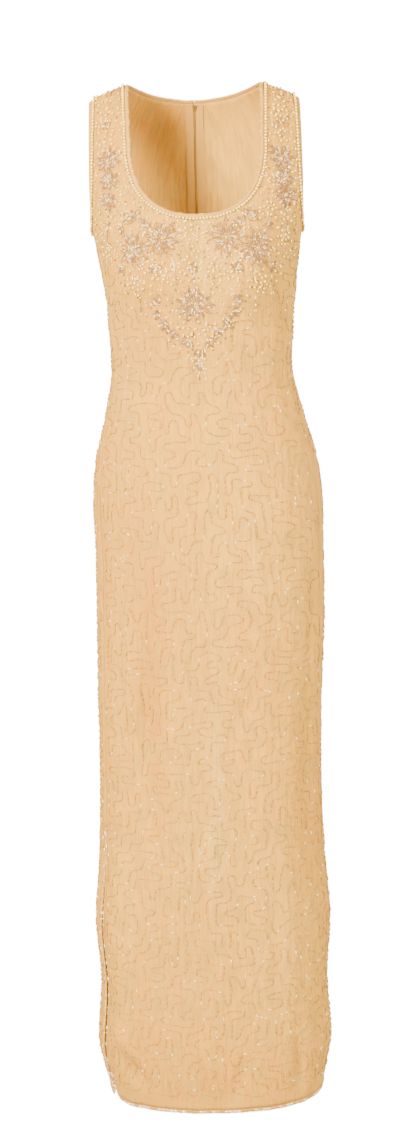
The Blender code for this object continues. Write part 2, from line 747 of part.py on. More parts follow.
def slider_solids():
    """The inner plate, the neck through the seam, the outer plate and the crown over the pin."""
    inner_face = -(WALL + 2 * SEAM_GAP + TAPE_THICK)
    plate_half = (SLIDER_WIDTH / 2, SLIDER_PLATE / 2, SLIDER_LENGTH / 2)
    inner = box(plate_half, (0, inner_face - SLIDER_PLATE / 2, 0))
    neck_low, neck_high = inner_face - SLIDER_PLATE / 2, OUTER_PLATE_IN + SLIDER_PLATE / 2
    neck_half = (SLIDER_NECK_HALF, (neck_high - neck_low) / 2, SLIDER_NECK_LENGTH / 2)
    neck = box(neck_half, (0, (neck_low + neck_high) / 2, 0))
    outer = box(plate_half, (0, OUTER_PLATE_IN + SLIDER_PLATE / 2, 0))
    opening = arc((PIN_OUT, 0.0), CROWN_IN, -90, 90, 8)
    reach = CROWN_IN + CROWN_THICK
    crown_outer = arc((PIN_OUT, 0.0), reach, 90, -90, 8)
    foot = OUTER_PLATE_OUT - SLIDER_PLATE / 2
    outline = [(foot, -CROWN_IN)] + opening + [(foot, CROWN_IN)]
    outline += [(foot, reach)] + crown_outer + [(foot, -reach)]
    crown = prism(outline, -CROWN_HALF, CROWN_HALF)
    return inner, neck, outer, crown


def pull_solids():
    """The pin under the crown, two arms and the drop-shaped tab, round the hinge axis at (0, 0)."""
    pin = prism(arc((0, 0), PIN_RADIUS, 0, 315, 7), -PIN_HALF, PIN_HALF)
    arms = []
    for side in (-1, 1):
        centre = (side * (PIN_HALF - PULL_ARM_WIDTH / 2), 0, -PULL_ARM / 2)
        half = (PULL_ARM_WIDTH / 2, PULL_THICK / 2, PULL_ARM / 2 + PIN_RADIUS / 2)
        arms.append(box(half, centre))
    shoulder, foot = -PULL_ARM + PULL_ARM_OVERLAP, -PULL_LENGTH
    outline = [(-PIN_HALF, shoulder), (PIN_HALF, shoulder)]
    round_centre = foot + PULL_HALF
    for turn in np.radians(np.linspace(0, -180, 11)):
        outline.append((PULL_HALF * math.cos(turn), round_centre + PULL_HALF * math.sin(turn)))
    tab = bmesh.new()
    face = tab.faces.new([tab.verts.new((x, -PULL_THICK / 2, z)) for x, z in outline])
    grown = bmesh.ops.extrude_face_region(tab, geom=[face])["geom"]
    moved = [v for v in grown if isinstance(v, bmesh.types.BMVert)]
    bmesh.ops.translate(tab, vec=(0, PULL_THICK, 0), verts=moved)
    return (pin, *arms, tab)


def united(name, solids, placement, finish):
    """One object from overlapping bmesh solids, joined by Boolean union."""
    made = []
    for i, solid in enumerate(solids):
        bmesh.ops.recalc_face_normals(solid, faces=solid.faces)
        mesh = bpy.data.meshes.new(name if i == 0 else f"{name}_piece_{i}")
        solid.to_mesh(mesh)
        solid.free()
        made.append(bpy.data.objects.new(mesh.name, mesh))
        made[-1].matrix_world = placement
        bpy.context.collection.objects.link(made[-1])
    body = made[0]
    body.data.materials.append(material(name, *finish))
    for other in made[1:]:
        other.hide_render = True
        other.display_type = "WIRE"
        join = body.modifiers.new("join_" + other.name, "BOOLEAN")
        join.operation = "UNION"
        join.solver = "EXACT"
        join.object = other
    return body


def main():
    for thing in list(bpy.data.objects):
        bpy.data.objects.remove(thing)
    make_front()
    make_back(1, "left")
    make_back(-1, "right")
    make_neck_binding()
    make_armhole_binding(1, "left")
    make_armhole_binding(-1, "right")
    make_zip_tapes_and_coil()
    frame = slider_frame()
    united("zip_slider", slider_solids(), frame, METAL)
    hinge = frame @ Matrix.Translation((0, PIN_OUT, 0))
    united("zip_pull", pull_solids(), hinge, METAL)


main()
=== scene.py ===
"""The looks of the evening gown: crinkled silk, bugle beads, pearls and the zip, round its CAD frame.

Left and right are the wearer's. Lengths are in metres, in the frame of the CAD: the front faces -Y and
the origin lies between the shoulder seams. The cloth lies on the same form as its CAD solids, and a
place on it is (angle, row), as there. Embroidery is laid out flat on a chart, (across, down): across is
the length round the form from the centre front, and down is the length from the shoulder line.
"""

import math

import bpy
import numpy as np
from mathutils import Matrix
from mathutils.geometry import delaunay_2d_cdt


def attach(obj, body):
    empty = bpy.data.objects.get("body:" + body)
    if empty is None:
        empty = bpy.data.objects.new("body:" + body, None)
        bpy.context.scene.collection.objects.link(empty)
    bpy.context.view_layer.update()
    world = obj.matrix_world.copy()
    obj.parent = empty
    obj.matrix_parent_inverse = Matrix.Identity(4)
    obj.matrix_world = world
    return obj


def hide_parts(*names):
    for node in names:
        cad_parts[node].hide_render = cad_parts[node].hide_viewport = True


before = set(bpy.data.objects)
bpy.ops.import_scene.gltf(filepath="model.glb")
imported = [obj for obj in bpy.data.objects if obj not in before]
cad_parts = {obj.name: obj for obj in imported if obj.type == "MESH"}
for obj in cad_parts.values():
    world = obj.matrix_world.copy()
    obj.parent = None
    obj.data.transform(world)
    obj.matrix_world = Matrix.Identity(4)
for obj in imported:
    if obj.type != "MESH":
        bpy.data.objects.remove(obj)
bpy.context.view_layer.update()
RANDOM = np.random.default_rng(20261120)

# ================================================================ the form, as in the CAD

# The wearer's left is +X and the right is -X.
SIDES = ((1, "left"), (-1, "right"))

# Cloth
WALL = 0.0016
SEAM_GAP = 0.0003

# Neck, shoulders and armholes
NECK_HALF = 0.0905
NECK_HALF_AT_SHOULDER = 0.093
NECK_STRAIGHT = 0.085
NECK_ROUND = 0.100
NECK_POWER = 2.4
BACK_NECK_DROP = 0.040
BACK_NECK_POWER = 2.2
ARMHOLE_HALF_AT_SHOULDER = 0.1475
ARMHOLE_HALF_AT_SIDE = 0.1505
ARMHOLE_STEPS = 60
UNDERARM_LIMIT = 0.23
SHOULDER_FADE = 0.22

# Hem and side slits
HEM_DROP = 1.470
SLIT_TOP = 1.060
SLIT_OPENING = 0.006
SLIT_FADE = 0.20
SLIT_STEP = 0.0008
HEM_CORNER = 0.012
HEM_END_TURN = 0.001
HEM_STATIONS = 50
BACK_HEM_STATIONS = 55

# Bound and rolled edges
BINDING_WIDTH = 0.005
BINDING_THICK = 0.0022

# Bust: two soft mounds that the cloth bridges
BUST_HALF = 0.070
BUST_DROP = 0.262
BUST_ACROSS = 0.052
BUST_ABOVE = 0.075
BUST_BELOW = 0.050
BUST_HEIGHT = 0.016

# Concealed zip in the centre back seam
ZIP_LENGTH = 0.540
TAPE_TOP = 0.0064
COIL_HALF = 0.0015
COIL_THICK = 0.0014
SLIDER_DOWN = 0.011
SLIDER_LENGTH = 0.008
SLIDER_NECK_LENGTH = 0.0046
SLIT_FOR_NECK = 0.0018
PULL_HALF = 0.0030

# One ring of the form in each row: the drop below the shoulder line, the half width, y at the front,
# the sides and the back, how square the ring is (2 is an ellipse) and its shift towards +X.
SECTION_COLUMNS = ("drop", "half_width", "front", "side", "back", "power", "shift")
SECTIONS = (
    (0.0, 0.1605, 0.0, 0.0, 0.0, 2.4, 0.0), (0.0036, 0.161, -0.02, 0.0, 0.02, 2.4, 0.0),
    (0.0165, 0.162, -0.04, 0.0, 0.042, 2.4, 0.0), (0.045, 0.1635, -0.058, 0.0, 0.064, 2.4, 0.0),
    (0.085, 0.1635, -0.075, 0.0, 0.083, 2.4, 0.0), (0.13, 0.1612, -0.089, 0.001, 0.096, 2.4, 0.0),
    (0.175, 0.1552, -0.101, 0.002, 0.102, 2.4, 0.0005), (0.215, 0.1468, -0.11, 0.003, 0.102, 2.38, 0.001),
    (0.255, 0.1405, -0.113, 0.004, 0.099, 2.34, 0.002), (0.3, 0.1342, -0.109, 0.004, 0.091, 2.3, 0.003),
    (0.35, 0.1315, -0.101, 0.003, 0.08, 2.26, 0.003), (0.4, 0.1296, -0.094, 0.003, 0.073, 2.22, 0.003),
    (0.44, 0.1365, -0.094, 0.004, 0.075, 2.22, 0.0045), (0.48, 0.1462, -0.1, 0.006, 0.084, 2.25, 0.006),
    (0.53, 0.1598, -0.107, 0.01, 0.098, 2.28, 0.007), (0.59, 0.1662, -0.112, 0.013, 0.112, 2.3, 0.008),
    (0.66, 0.1658, -0.114, 0.014, 0.117, 2.32, 0.009), (0.76, 0.166, -0.114, 0.012, 0.113, 2.34, 0.0085),
    (0.88, 0.1638, -0.116, 0.009, 0.11, 2.36, 0.005), (1.0, 0.1632, -0.118, 0.006, 0.11, 2.38, 0.004),
    (1.12, 0.1674, -0.121, 0.003, 0.113, 2.4, 0.0035), (1.21, 0.1742, -0.124, 0.001, 0.116, 2.42, 0.003),
    (1.3, 0.1684, -0.127, 0.0, 0.118, 2.44, 0.003), (1.39, 0.1738, -0.129, 0.0, 0.119, 2.44, 0.0025),
    (1.435, 0.1665, -0.128, 0.0, 0.119, 2.42, 0.003), (1.47, 0.159, -0.126, 0.0, 0.117, 2.4, 0.004),
)

# The shoulder seam from the middle outwards, and its rise over the neck points.
SHOULDER_COLUMNS = ("out", "rise")
SHOULDER_LINE = (
    (0.0, 0.024), (0.03, 0.0205), (0.06, 0.0115), (0.093, 0.0), (0.12, -0.0095), (0.135, -0.0155),
    (0.148, -0.024), (0.165, -0.04),
)

# How far the side seams swing forward of the widest line of the form, in degrees round it.
SEAM_COLUMNS = ("drop", "left", "right")
SIDE_SEAMS = (
    (0.19, 0.0, 0.0), (0.4, 2.0, 2.0), (0.46, 13.0, 13.0), (0.53, 21.0, 22.0), (0.62, 22.0, 24.0),
    (0.76, 22.0, 25.0), (0.9, 14.0, 25.0), (1.06, 4.0, 25.0), (1.25, -3.0, 26.0), (1.47, -5.0, 26.0),
)

# The largest folds. A fold runs from its top drop to its bottom drop, leans by so many degrees round
# the form on the way, and stands out of the cloth by its height, or into it where that is negative.
# The columns are angle, lean, top, bottom, width and height.
FOLDS = (
    (2.0, -1.0, 0.7, 1.52, 0.014, 0.004), (-38.0, 6.0, 0.58, 1.1, 0.02, -0.0045),
    (34.0, -4.0, 0.86, 1.55, 0.024, 0.005), (-20.0, -6.0, 0.95, 1.55, 0.022, -0.0045),
    (52.0, 5.0, 0.62, 1.3, 0.022, -0.005), (-50.0, 3.0, 1.0, 1.56, 0.018, 0.005),
    (70.0, -3.0, 0.22, 0.4, 0.012, 0.0035), (-72.0, 4.0, 0.24, 0.41, 0.012, 0.003),
    (128.0, 3.0, 0.66, 1.55, 0.026, 0.0055), (152.0, -4.0, 0.78, 1.4, 0.022, -0.005),
    (-124.0, -4.0, 0.7, 1.56, 0.026, 0.005), (-150.0, 5.0, 0.62, 1.28, 0.022, -0.005),
)
METRES_PER_DEGREE = 0.0026

DENSE_ROWS = np.linspace(0.0, len(SECTIONS) - 1.0, 2401)


def columns(table, names):
    """The columns of a table, by name, as arrays."""
    return dict(zip(names, np.array(table, dtype=float).T))


def smooth_curve(xs, ys, at, first_slope=None):
    """A cubic curve through the points (xs, ys), read at other places."""
    slopes = np.gradient(ys, xs)
    if first_slope is not None:
        slopes[0] = first_slope
    at = np.clip(at, xs[0], xs[-1])
    i = np.clip(np.searchsorted(xs, at, side="right") - 1, 0, len(xs) - 2)
    step = xs[i + 1] - xs[i]
    t = (at - xs[i]) / step
    start = (1 + 2 * t) * (1 - t) ** 2 * ys[i] + t * (1 - t) ** 2 * step * slopes[i]
    end = t * t * (3 - 2 * t) * ys[i + 1] + t * t * (t - 1) * step * slopes[i + 1]
    return start + end


def run_along(points):
    """The length along a line of points, at each of them."""
    return np.concatenate([[0.0], np.cumsum(np.linalg.norm(np.diff(points, axis=0), axis=1))])


def read_line(places, run, values):
    """Each column of values, read at places along a line."""
    return np.stack([np.interp(places, run, column) for column in values.T], axis=-1)


def with_first(line):
    """A closed line with its first place again at the end."""
    return np.concatenate([line, line[:1]])


def smoothstep(x):
    x = np.clip(x, 0.0, 1.0)
    return x * x * (3 - 2 * x)


SECTION = columns(SECTIONS, SECTION_COLUMNS)
SHOULDER = columns(SHOULDER_LINE, SHOULDER_COLUMNS)
SEAM = columns(SIDE_SEAMS, SEAM_COLUMNS)


def section(name, row):
    """One column of SECTIONS at real row numbers. Over the shoulder the profile is a round crest."""
    values = SECTION[name]
    slope = values[1] if name in ("front", "back") else 0.0
    return smooth_curve(np.arange(len(values), dtype=float), values, row, slope)


DENSE_DROPS = section("drop", DENSE_ROWS)


def row_at_drop(drop):
    return np.interp(drop, DENSE_DROPS, DENSE_ROWS)


def shoulder_rise(out, drop):
    """How far the slope of the shoulders lifts a point, which fades out down the body."""
    rise = smooth_curve(SHOULDER["out"], SHOULDER["rise"], np.abs(out))
    return rise * (1.0 - smoothstep(drop / SHOULDER_FADE))


def plain_form(angle, row):
    """The form with the bust and without folds."""
    power = section("power", row)
    sine, cosine = np.sin(angle), np.cos(angle)
    reach = (np.abs(sine) ** power + np.abs(cosine) ** power) ** (-1.0 / power)
    out = section("half_width", row) * sine * reach
    side = section("side", row)
    depth = np.where(cosine > 0, section("front", row), section("back", row)) - side
    drop = section("drop", row)
    z = shoulder_rise(out, drop) - drop
    y = side + depth * np.abs(cosine) * reach
    below = np.where(drop > BUST_DROP, BUST_BELOW, BUST_ABOVE)
    mound = bell((np.abs(out) - BUST_HALF) / BUST_ACROSS) * bell((drop - BUST_DROP) / below)
    y = y - BUST_HEIGHT * mound * smoothstep(cosine * 2.0)
    return np.stack([out + section("shift", row), y, z], axis=-1)


def steps_round(points, angle, row):
    """The change of a surface with angle and with row, by small differences."""
    turn, shift = 1e-4, 1e-3
    last = len(SECTIONS) - 1.0
    low, high = np.maximum(row - shift, 0.0), np.minimum(row + shift, last)
    by_angle = (points(angle + turn, row) - points(angle - turn, row)) / (2 * turn)
    by_row = (points(angle, high) - points(angle, low)) / (high - low)[..., None]
    return by_angle, by_row


def unit(vectors):
    return vectors / np.maximum(np.linalg.norm(vectors, axis=-1, keepdims=True), 1e-9)


def normal_of(points, angle, row):
    """Outward normal: round the form towards +angle, crossed with up the form."""
    by_angle, by_row = steps_round(points, angle, row)
    return unit(np.cross(by_angle, -by_row))


def bell(x):
    return np.exp(-(x**2))


def rise_and_fall(along):
    """A smooth rise and fall between the ends, 0 and 1, of a fold or crease."""
    return np.where((along > 0) & (along < 1), np.sin(np.pi * along) ** 2, 0.0)


def fold_height(angle, row):
    degrees, drop = np.degrees(angle), section("drop", row)
    total = np.zeros_like(drop)
    for middle, lean, top, bottom, width, height in FOLDS:
        along = (drop - top) / (bottom - top)
        away = (degrees - middle - lean * along + 180.0) % 360.0 - 180.0
        total = total + height * rise_and_fall(along) * bell(away * METRES_PER_DEGREE / width)
    return total


def angle_at(out, row):
    """The angle, 0 to 90 degrees, at which the ring of a row is so far out from its middle."""
    power = section("power", row)
    share = np.clip(np.abs(out) / section("half_width", row), 0.0, 1.0)
    return np.arctan2(share, (1.0 - share**power) ** (1.0 / power))


def row_at_height(out, z):
    """The row at which the form, so far out from its middle, is at height z."""
    heights = shoulder_rise(out, DENSE_DROPS) - DENSE_DROPS
    return float(np.interp(-z, -heights, DENSE_ROWS))


def metres_per_radian(angle, row):
    return np.linalg.norm(steps_round(cloth, angle, row)[0], axis=-1)


def edge_frame(path, closed=False):
    """Points, outward normals and the direction to the left of travel, along a path on the cloth."""
    angle, row = path[:, 0], path[:, 1]
    points = cloth(angle, row)
    if closed:
        along = np.roll(points, -1, axis=0) - np.roll(points, 1, axis=0)
    else:
        along = np.gradient(points, axis=0)
    normals = normal_of(cloth, angle, row)
    return points, normals, unit(np.cross(normals, unit(along)))


def moved_left(path, distance):
    """The path moved over the cloth, to the left of its travel, and dropped back on to the cloth."""
    points, _, left = edge_frame(path)
    target, moved = points + distance * left, path.copy()
    for _ in range(4):
        angle, row = moved[:, 0], moved[:, 1]
        jacobian = np.stack(steps_round(cloth, angle, row), axis=-1)
        missing = target - cloth(angle, row)
        moved += [np.linalg.lstsq(j, m, rcond=None)[0] for j, m in zip(jacobian, missing)]
        moved[:, 1] = np.maximum(moved[:, 1], 0.0)
    return moved


# ---------------------------------------------------------------- edges of the cut pieces


def front_neck(side):
    """The front neckline from the shoulder seam down to the centre front."""
    places = []
    for share in np.linspace(0.0, 1.0, 24)[:-1]:
        half = NECK_HALF_AT_SHOULDER + share * (NECK_HALF - NECK_HALF_AT_SHOULDER)
        places.append((half, -share * NECK_STRAIGHT))
    for turn in np.linspace(0.0, math.pi / 2, 48):
        half = NECK_HALF * math.cos(turn) ** (2 / NECK_POWER)
        places.append((half, -NECK_STRAIGHT - NECK_ROUND * math.sin(turn) ** (2 / NECK_POWER)))
    rows = np.array([row_at_height(out, z) for out, z in places])
    rows[0] = 0.0
    angles = angle_at(np.array([out for out, _ in places]), rows)
    return np.column_stack([side * angles, rows])


def back_neck(side):
    """The back neckline from the shoulder seam to the centre back."""
    turns = np.linspace(0.0, 1.0, 40)
    out = NECK_HALF_AT_SHOULDER * np.cos(turns * math.pi / 2)
    drops = BACK_NECK_DROP * np.sin(turns * math.pi / 2) ** BACK_NECK_POWER
    rows = row_at_drop(drops)
    return np.column_stack([side * (math.pi - angle_at(out, rows)), rows])


def armhole(side):
    """The armhole from the front of the shoulder seam, under the arm, to the back of that seam."""
    rows = DENSE_ROWS[DENSE_DROPS < UNDERARM_LIMIT]
    underarm = rows[section("half_width", rows) > ARMHOLE_HALF_AT_SIDE].max()
    share = np.linspace(1.0, -1.0, 2 * ARMHOLE_STEPS + 1)
    row = underarm * (1.0 - share**2)
    half = ARMHOLE_HALF_AT_SHOULDER + (ARMHOLE_HALF_AT_SIDE - ARMHOLE_HALF_AT_SHOULDER) * row / underarm
    angle = angle_at(half, row)
    angle[share < 0] = math.pi - angle[share < 0]
    angle[ARMHOLE_STEPS] = math.pi / 2
    return np.column_stack([side * angle, row])


def seam_angle(side, drop):
    """The side seam, as an angle from the centre front."""
    forward = smooth_curve(SEAM["drop"], SEAM["left" if side > 0 else "right"], drop)
    return np.radians(90.0 - forward)


def slit_and_hem(side, towards, end_angle, stations):
    """The rolled edge from the top of a slit, round the corner and along the hem to end_angle.

    towards is -1 on the front, which lies towards smaller angles, and 1 on the back.
    """
    drops = np.linspace(SLIT_TOP + SLIT_STEP, HEM_DROP - HEM_CORNER, 80)
    rows = row_at_drop(drops)
    opening = SLIT_OPENING * smoothstep((drops - SLIT_TOP) / SLIT_FADE) + SEAM_GAP
    seam = seam_angle(side, drops)
    slit = seam + towards * opening / 2 / metres_per_radian(side * seam, rows)
    scale = metres_per_radian(side * slit[-1:], rows[-1:])[0]
    turns = np.linspace(0.0, math.pi / 2, 12)[1:]
    corner = slit[-1] + towards * HEM_CORNER * (1 - np.cos(turns)) / scale
    corner_rows = row_at_drop(HEM_DROP - HEM_CORNER * (1 - np.sin(turns)))
    hem = np.linspace(corner[-1], end_angle, stations)[1:]
    angles = np.concatenate([slit, corner, hem])
    rows = np.concatenate([rows, corner_rows, np.full(len(hem), row_at_drop(HEM_DROP))])
    return np.column_stack([side * angles, rows])


# ================================================================ creases

# Smaller creases than the CAD has. Each runs from one place to another, given as an angle in degrees
# and a drop, and stands out of the cloth by its height, or into it where that is negative.
# The columns are the first angle and drop, the last angle and drop, the width and the height.
CREASES = (
    (57.0, 0.15, 80.0, 0.3, 0.007, -0.0026), (66.0, 0.2, 84.0, 0.33, 0.005, 0.0018),
    (-58.0, 0.18, -82.0, 0.34, 0.007, -0.0022), (-49.0, 0.25, -66.0, 0.38, 0.006, 0.0014),
    (-70.0, 0.462, -12.0, 0.436, 0.008, 0.0014), (-62.0, 0.428, -28.0, 0.418, 0.006, -0.0012),
    (60.0, 0.47, 8.0, 0.448, 0.008, 0.0013), (64.0, 0.436, 24.0, 0.424, 0.0055, -0.0011),
    (-2.0, 0.9, -1.0, 1.33, 0.0075, 0.0026), (-3.0, 0.775, 12.0, 0.915, 0.009, -0.0026),
    (21.0, 0.845, 9.0, 0.925, 0.008, -0.0022), (-33.0, 0.79, -34.0, 1.01, 0.01, -0.0034),
    (-44.0, 0.7, -40.0, 0.98, 0.008, 0.002), (28.0, 1.06, 31.0, 1.4, 0.009, -0.0024),
    (-48.0, 1.38, -33.0, 1.446, 0.008, -0.0036), (-55.0, 1.33, -40.0, 1.4, 0.009, 0.0026),
    (-6.0, 1.33, -1.0, 1.468, 0.0085, 0.0032), (14.0, 1.37, 10.0, 1.468, 0.007, -0.0024),
    (38.0, 1.35, 47.0, 1.46, 0.0085, -0.0026), (60.0, 0.64, 56.0, 0.86, 0.008, -0.0022),
    (118.0, 0.18, 98.0, 0.33, 0.007, -0.0024), (-121.0, 0.17, -99.0, 0.32, 0.007, -0.0022),
    (112.0, 0.452, 160.0, 0.43, 0.008, 0.0014), (-110.0, 0.455, -158.0, 0.428, 0.008, 0.0014),
    (-118.0, 0.424, -150.0, 0.412, 0.006, -0.0012), (140.0, 0.7, 136.0, 1.05, 0.009, -0.003),
    (-141.0, 0.76, -136.0, 1.12, 0.009, 0.0026), (164.0, 0.62, 150.0, 0.74, 0.008, -0.0022),
    (-166.0, 0.64, -148.0, 0.77, 0.008, -0.0024), (120.0, 1.33, 132.0, 1.455, 0.0085, -0.0028),
    (-122.0, 1.35, -128.0, 1.462, 0.0085, 0.0028), (158.0, 1.25, 154.0, 1.46, 0.009, 0.0026),
    (-160.0, 1.3, -165.0, 1.46, 0.008, -0.0024),
)

CREASE_STRENGTH = 2.7

# The cloth sinks into its side and back seams.
SEAM_SINK = 0.0009
SEAM_SINK_WIDTH = 0.0032

# Soft unevenness of hanging cloth: waves round the form, whose places wander down it.
# The columns are the waves round, the waves down in a metre, the turn and the height.
RIPPLES = (
    (19.0, 1.9, 0.4, 0.00035), (31.0, 2.8, 1.9, 0.00028), (47.0, 4.3, 3.1, 0.00016),
)
RIPPLE_WANDER = 1.6
# Seams and ripples fade in below the shoulder.
RIPPLES_FULL = 0.12
SINK_FROM = 0.05
SINK_FADE = 0.1


def crease_height(angle, row):
    degrees, drop = np.degrees(angle), section("drop", row)
    total = np.zeros_like(drop)
    for first_angle, first_drop, last_angle, last_drop, width, height in CREASES:
        start = np.array([first_angle * METRES_PER_DEGREE, first_drop])
        run = np.array([last_angle * METRES_PER_DEGREE, last_drop]) - start
        x, y = degrees * METRES_PER_DEGREE - start[0], drop - start[1]
        length = np.hypot(*run)
        along = (x * run[0] + y * run[1]) / length**2
        aside = (x * run[1] - y * run[0]) / length
        total = total + CREASE_STRENGTH * height * rise_and_fall(along) * bell(aside / width)
    return total


def ripple_height(angle, row):
    drop = section("drop", row)
    total = np.zeros_like(drop)
    for waves_round, waves_down, turn, height in RIPPLES:
        wander = np.sin(drop * waves_down * math.tau + turn)
        total = total + height * np.sin(angle * waves_round + RIPPLE_WANDER * wander)
    return total * smoothstep(drop / RIPPLES_FULL)


def seam_sink(angle, row):
    drop = section("drop", row)
    sink = np.zeros_like(drop)
    for seam in (seam_angle(1, drop), -seam_angle(-1, drop), math.pi, -math.pi):
        sink = sink + bell(np.degrees(angle - seam) * METRES_PER_DEGREE / SEAM_SINK_WIDTH)
    return -SEAM_SINK * sink * smoothstep((drop - SINK_FROM) / SINK_FADE)


def cloth(angle, row):
    """The outer face of the cloth: the form with its folds, creases, ripples and sunk seams."""
    angle, row = np.broadcast_arrays(np.asarray(angle, float), np.asarray(row, float))
    lift = fold_height(angle, row) + crease_height(angle, row)
    lift = lift + ripple_height(angle, row) + seam_sink(angle, row)
    return plain_form(angle, row) + normal_of(plain_form, angle, row) * lift[..., None]


# ================================================================ the flat chart

LAST_ROW = len(SECTIONS) - 1.0
CHART_ROWS = np.linspace(0.0, LAST_ROW, 601)
CHART_TURNS = np.linspace(-math.pi, math.pi, 1081)
CHART_SHARES = np.linspace(-1.0, 1.0, 901)


def lengths_down(y, z):
    """Length down the middle of the front or the back, at each dense row."""
    return np.concatenate([[0.0], np.cumsum(np.hypot(np.diff(y), np.diff(z)))])


def lengths_round():
    """Length round the form from the centre front, for each chart row and turn."""
    turns, rows = np.meshgrid(CHART_TURNS, CHART_ROWS)
    steps = np.linalg.norm(np.diff(plain_form(turns, rows), axis=1), axis=-1)
    run = np.concatenate([np.zeros((len(rows), 1)), np.cumsum(steps, axis=1)], axis=1)
    return run - run[:, len(CHART_TURNS) // 2 : len(CHART_TURNS) // 2 + 1]


DENSE_LENGTHS = lengths_down(section("front", DENSE_ROWS), DENSE_DROPS)
ROUND = lengths_round()
HALF_GIRTH = ROUND[:, -1]
TURN_AT_SHARE = np.array([np.interp(CHART_SHARES, r / r[-1], CHART_TURNS) for r in ROUND])


def lengths_at(row):
    return np.interp(row, DENSE_ROWS, DENSE_LENGTHS)


def rows_at(lengths):
    return np.interp(lengths, DENSE_LENGTHS, DENSE_ROWS)


def read_table(table, row_places, places, rows, at):
    """A table read between its rows and columns, which are evenly spaced."""
    y = np.clip((rows - row_places[0]) / (row_places[1] - row_places[0]), 0, len(row_places) - 1.001)
    x = np.clip((at - places[0]) / (places[1] - places[0]), 0, len(places) - 1.001)
    i, j = y.astype(int), x.astype(int)
    y, x = y - i, x - j
    upper = table[i, j] * (1 - x) + table[i, j + 1] * x
    lower = table[i + 1, j] * (1 - x) + table[i + 1, j + 1] * x
    return upper * (1 - y) + lower * y


def form_from_chart(across, down):
    """(angle, row) of places on the chart."""
    across, down = np.asarray(across, float), np.asarray(down, float)
    row = rows_at(down)
    share = across / np.interp(row, CHART_ROWS, HALF_GIRTH)
    return read_table(TURN_AT_SHARE, CHART_ROWS, CHART_SHARES, row, share), row


def chart_from_form(angle, row):
    return read_table(ROUND, CHART_ROWS, CHART_TURNS, row, angle), lengths_at(row)


def on_cloth(across, down):
    """Points of the cloth's face and its outward normals, at places on the chart."""
    angle, row = form_from_chart(across, down)
    return cloth(angle, row), normal_of(cloth, angle, row)


# ================================================================ materials

def node(tree, kind, values=(), **settings):
    """A shader node with its settings, and its inputs set or linked by name or number."""
    made = tree.nodes.new("ShaderNode" + kind)
    for key, value in settings.items():
        setattr(made, key, value)
    for key, value in dict(values).items():
        if isinstance(value, bpy.types.NodeSocket):
            tree.links.new(value, made.inputs[key])
        else:
            made.inputs[key].default_value = value
    return made


def ramp(tree, factor, *stops):
    """A colour ramp through stops of (place, colour)."""
    made = node(tree, "ValToRGB", {"Fac": factor})
    elements = made.color_ramp.elements
    while len(elements) < len(stops):
        elements.new(0.5)
    for element, (place, colour) in zip(elements, stops):
        element.position = place
        element.color = (*colour, 1.0)
    return made.outputs["Color"]


def new_material(name, **values):
    """A Principled material and its tree, with the shader's own values set."""
    made = bpy.data.materials.new(name)
    made.use_nodes = True
    shader = made.node_tree.nodes["Principled BSDF"]
    for key, value in values.items():
        shader.inputs[key.replace("_", " ")].default_value = value
    return made, made.node_tree, shader


def noise(tree, vector, scale, detail=2.0, roughness=0.5):
    """Noise in a space scaled by three numbers, so that its grain can be longer one way."""
    placed = node(tree, "Mapping", {"Vector": vector, "Scale": scale})
    values = {"Vector": placed.outputs[0], "Scale": 1.0, "Detail": detail, "Roughness": roughness}
    return node(tree, "TexNoise", values, noise_dimensions="3D").outputs["Fac"]


def mixed(tree, factor, first, second, blend_type="MIX"):
    """Two colours mixed. A Mix node has inputs of one name for each type, so these go by number."""
    values = {0: factor, 6: first, 7: second}
    return node(tree, "Mix", values, data_type="RGBA", blend_type=blend_type).outputs[2]


def bump(tree, height, strength, distance, below=None):
    """The normal of a bump that stands on the normal of the one below it."""
    values = {"Height": height, "Strength": strength, "Distance": distance}
    if below is not None:
        values["Normal"] = below
    return node(tree, "Bump", values).outputs[0]


def grey(value):
    return (value, value, value)


def object_place(tree):
    return node(tree, "TexCoord").outputs["Object"]


def link(tree, shader, sockets):
    """The shader's inputs, linked by name."""
    for key, socket in sockets.items():
        tree.links.new(socket, shader.inputs[key])


PEACH = (0.620, 0.350, 0.062)
TAN = (0.560, 0.328, 0.075)
PALE = (0.630, 0.388, 0.090)
OLIVE = (0.490, 0.305, 0.075)
ORANGE = (0.560, 0.288, 0.044)
PINK = (0.635, 0.405, 0.165)
THREADS_PER_METRE = 2400.0


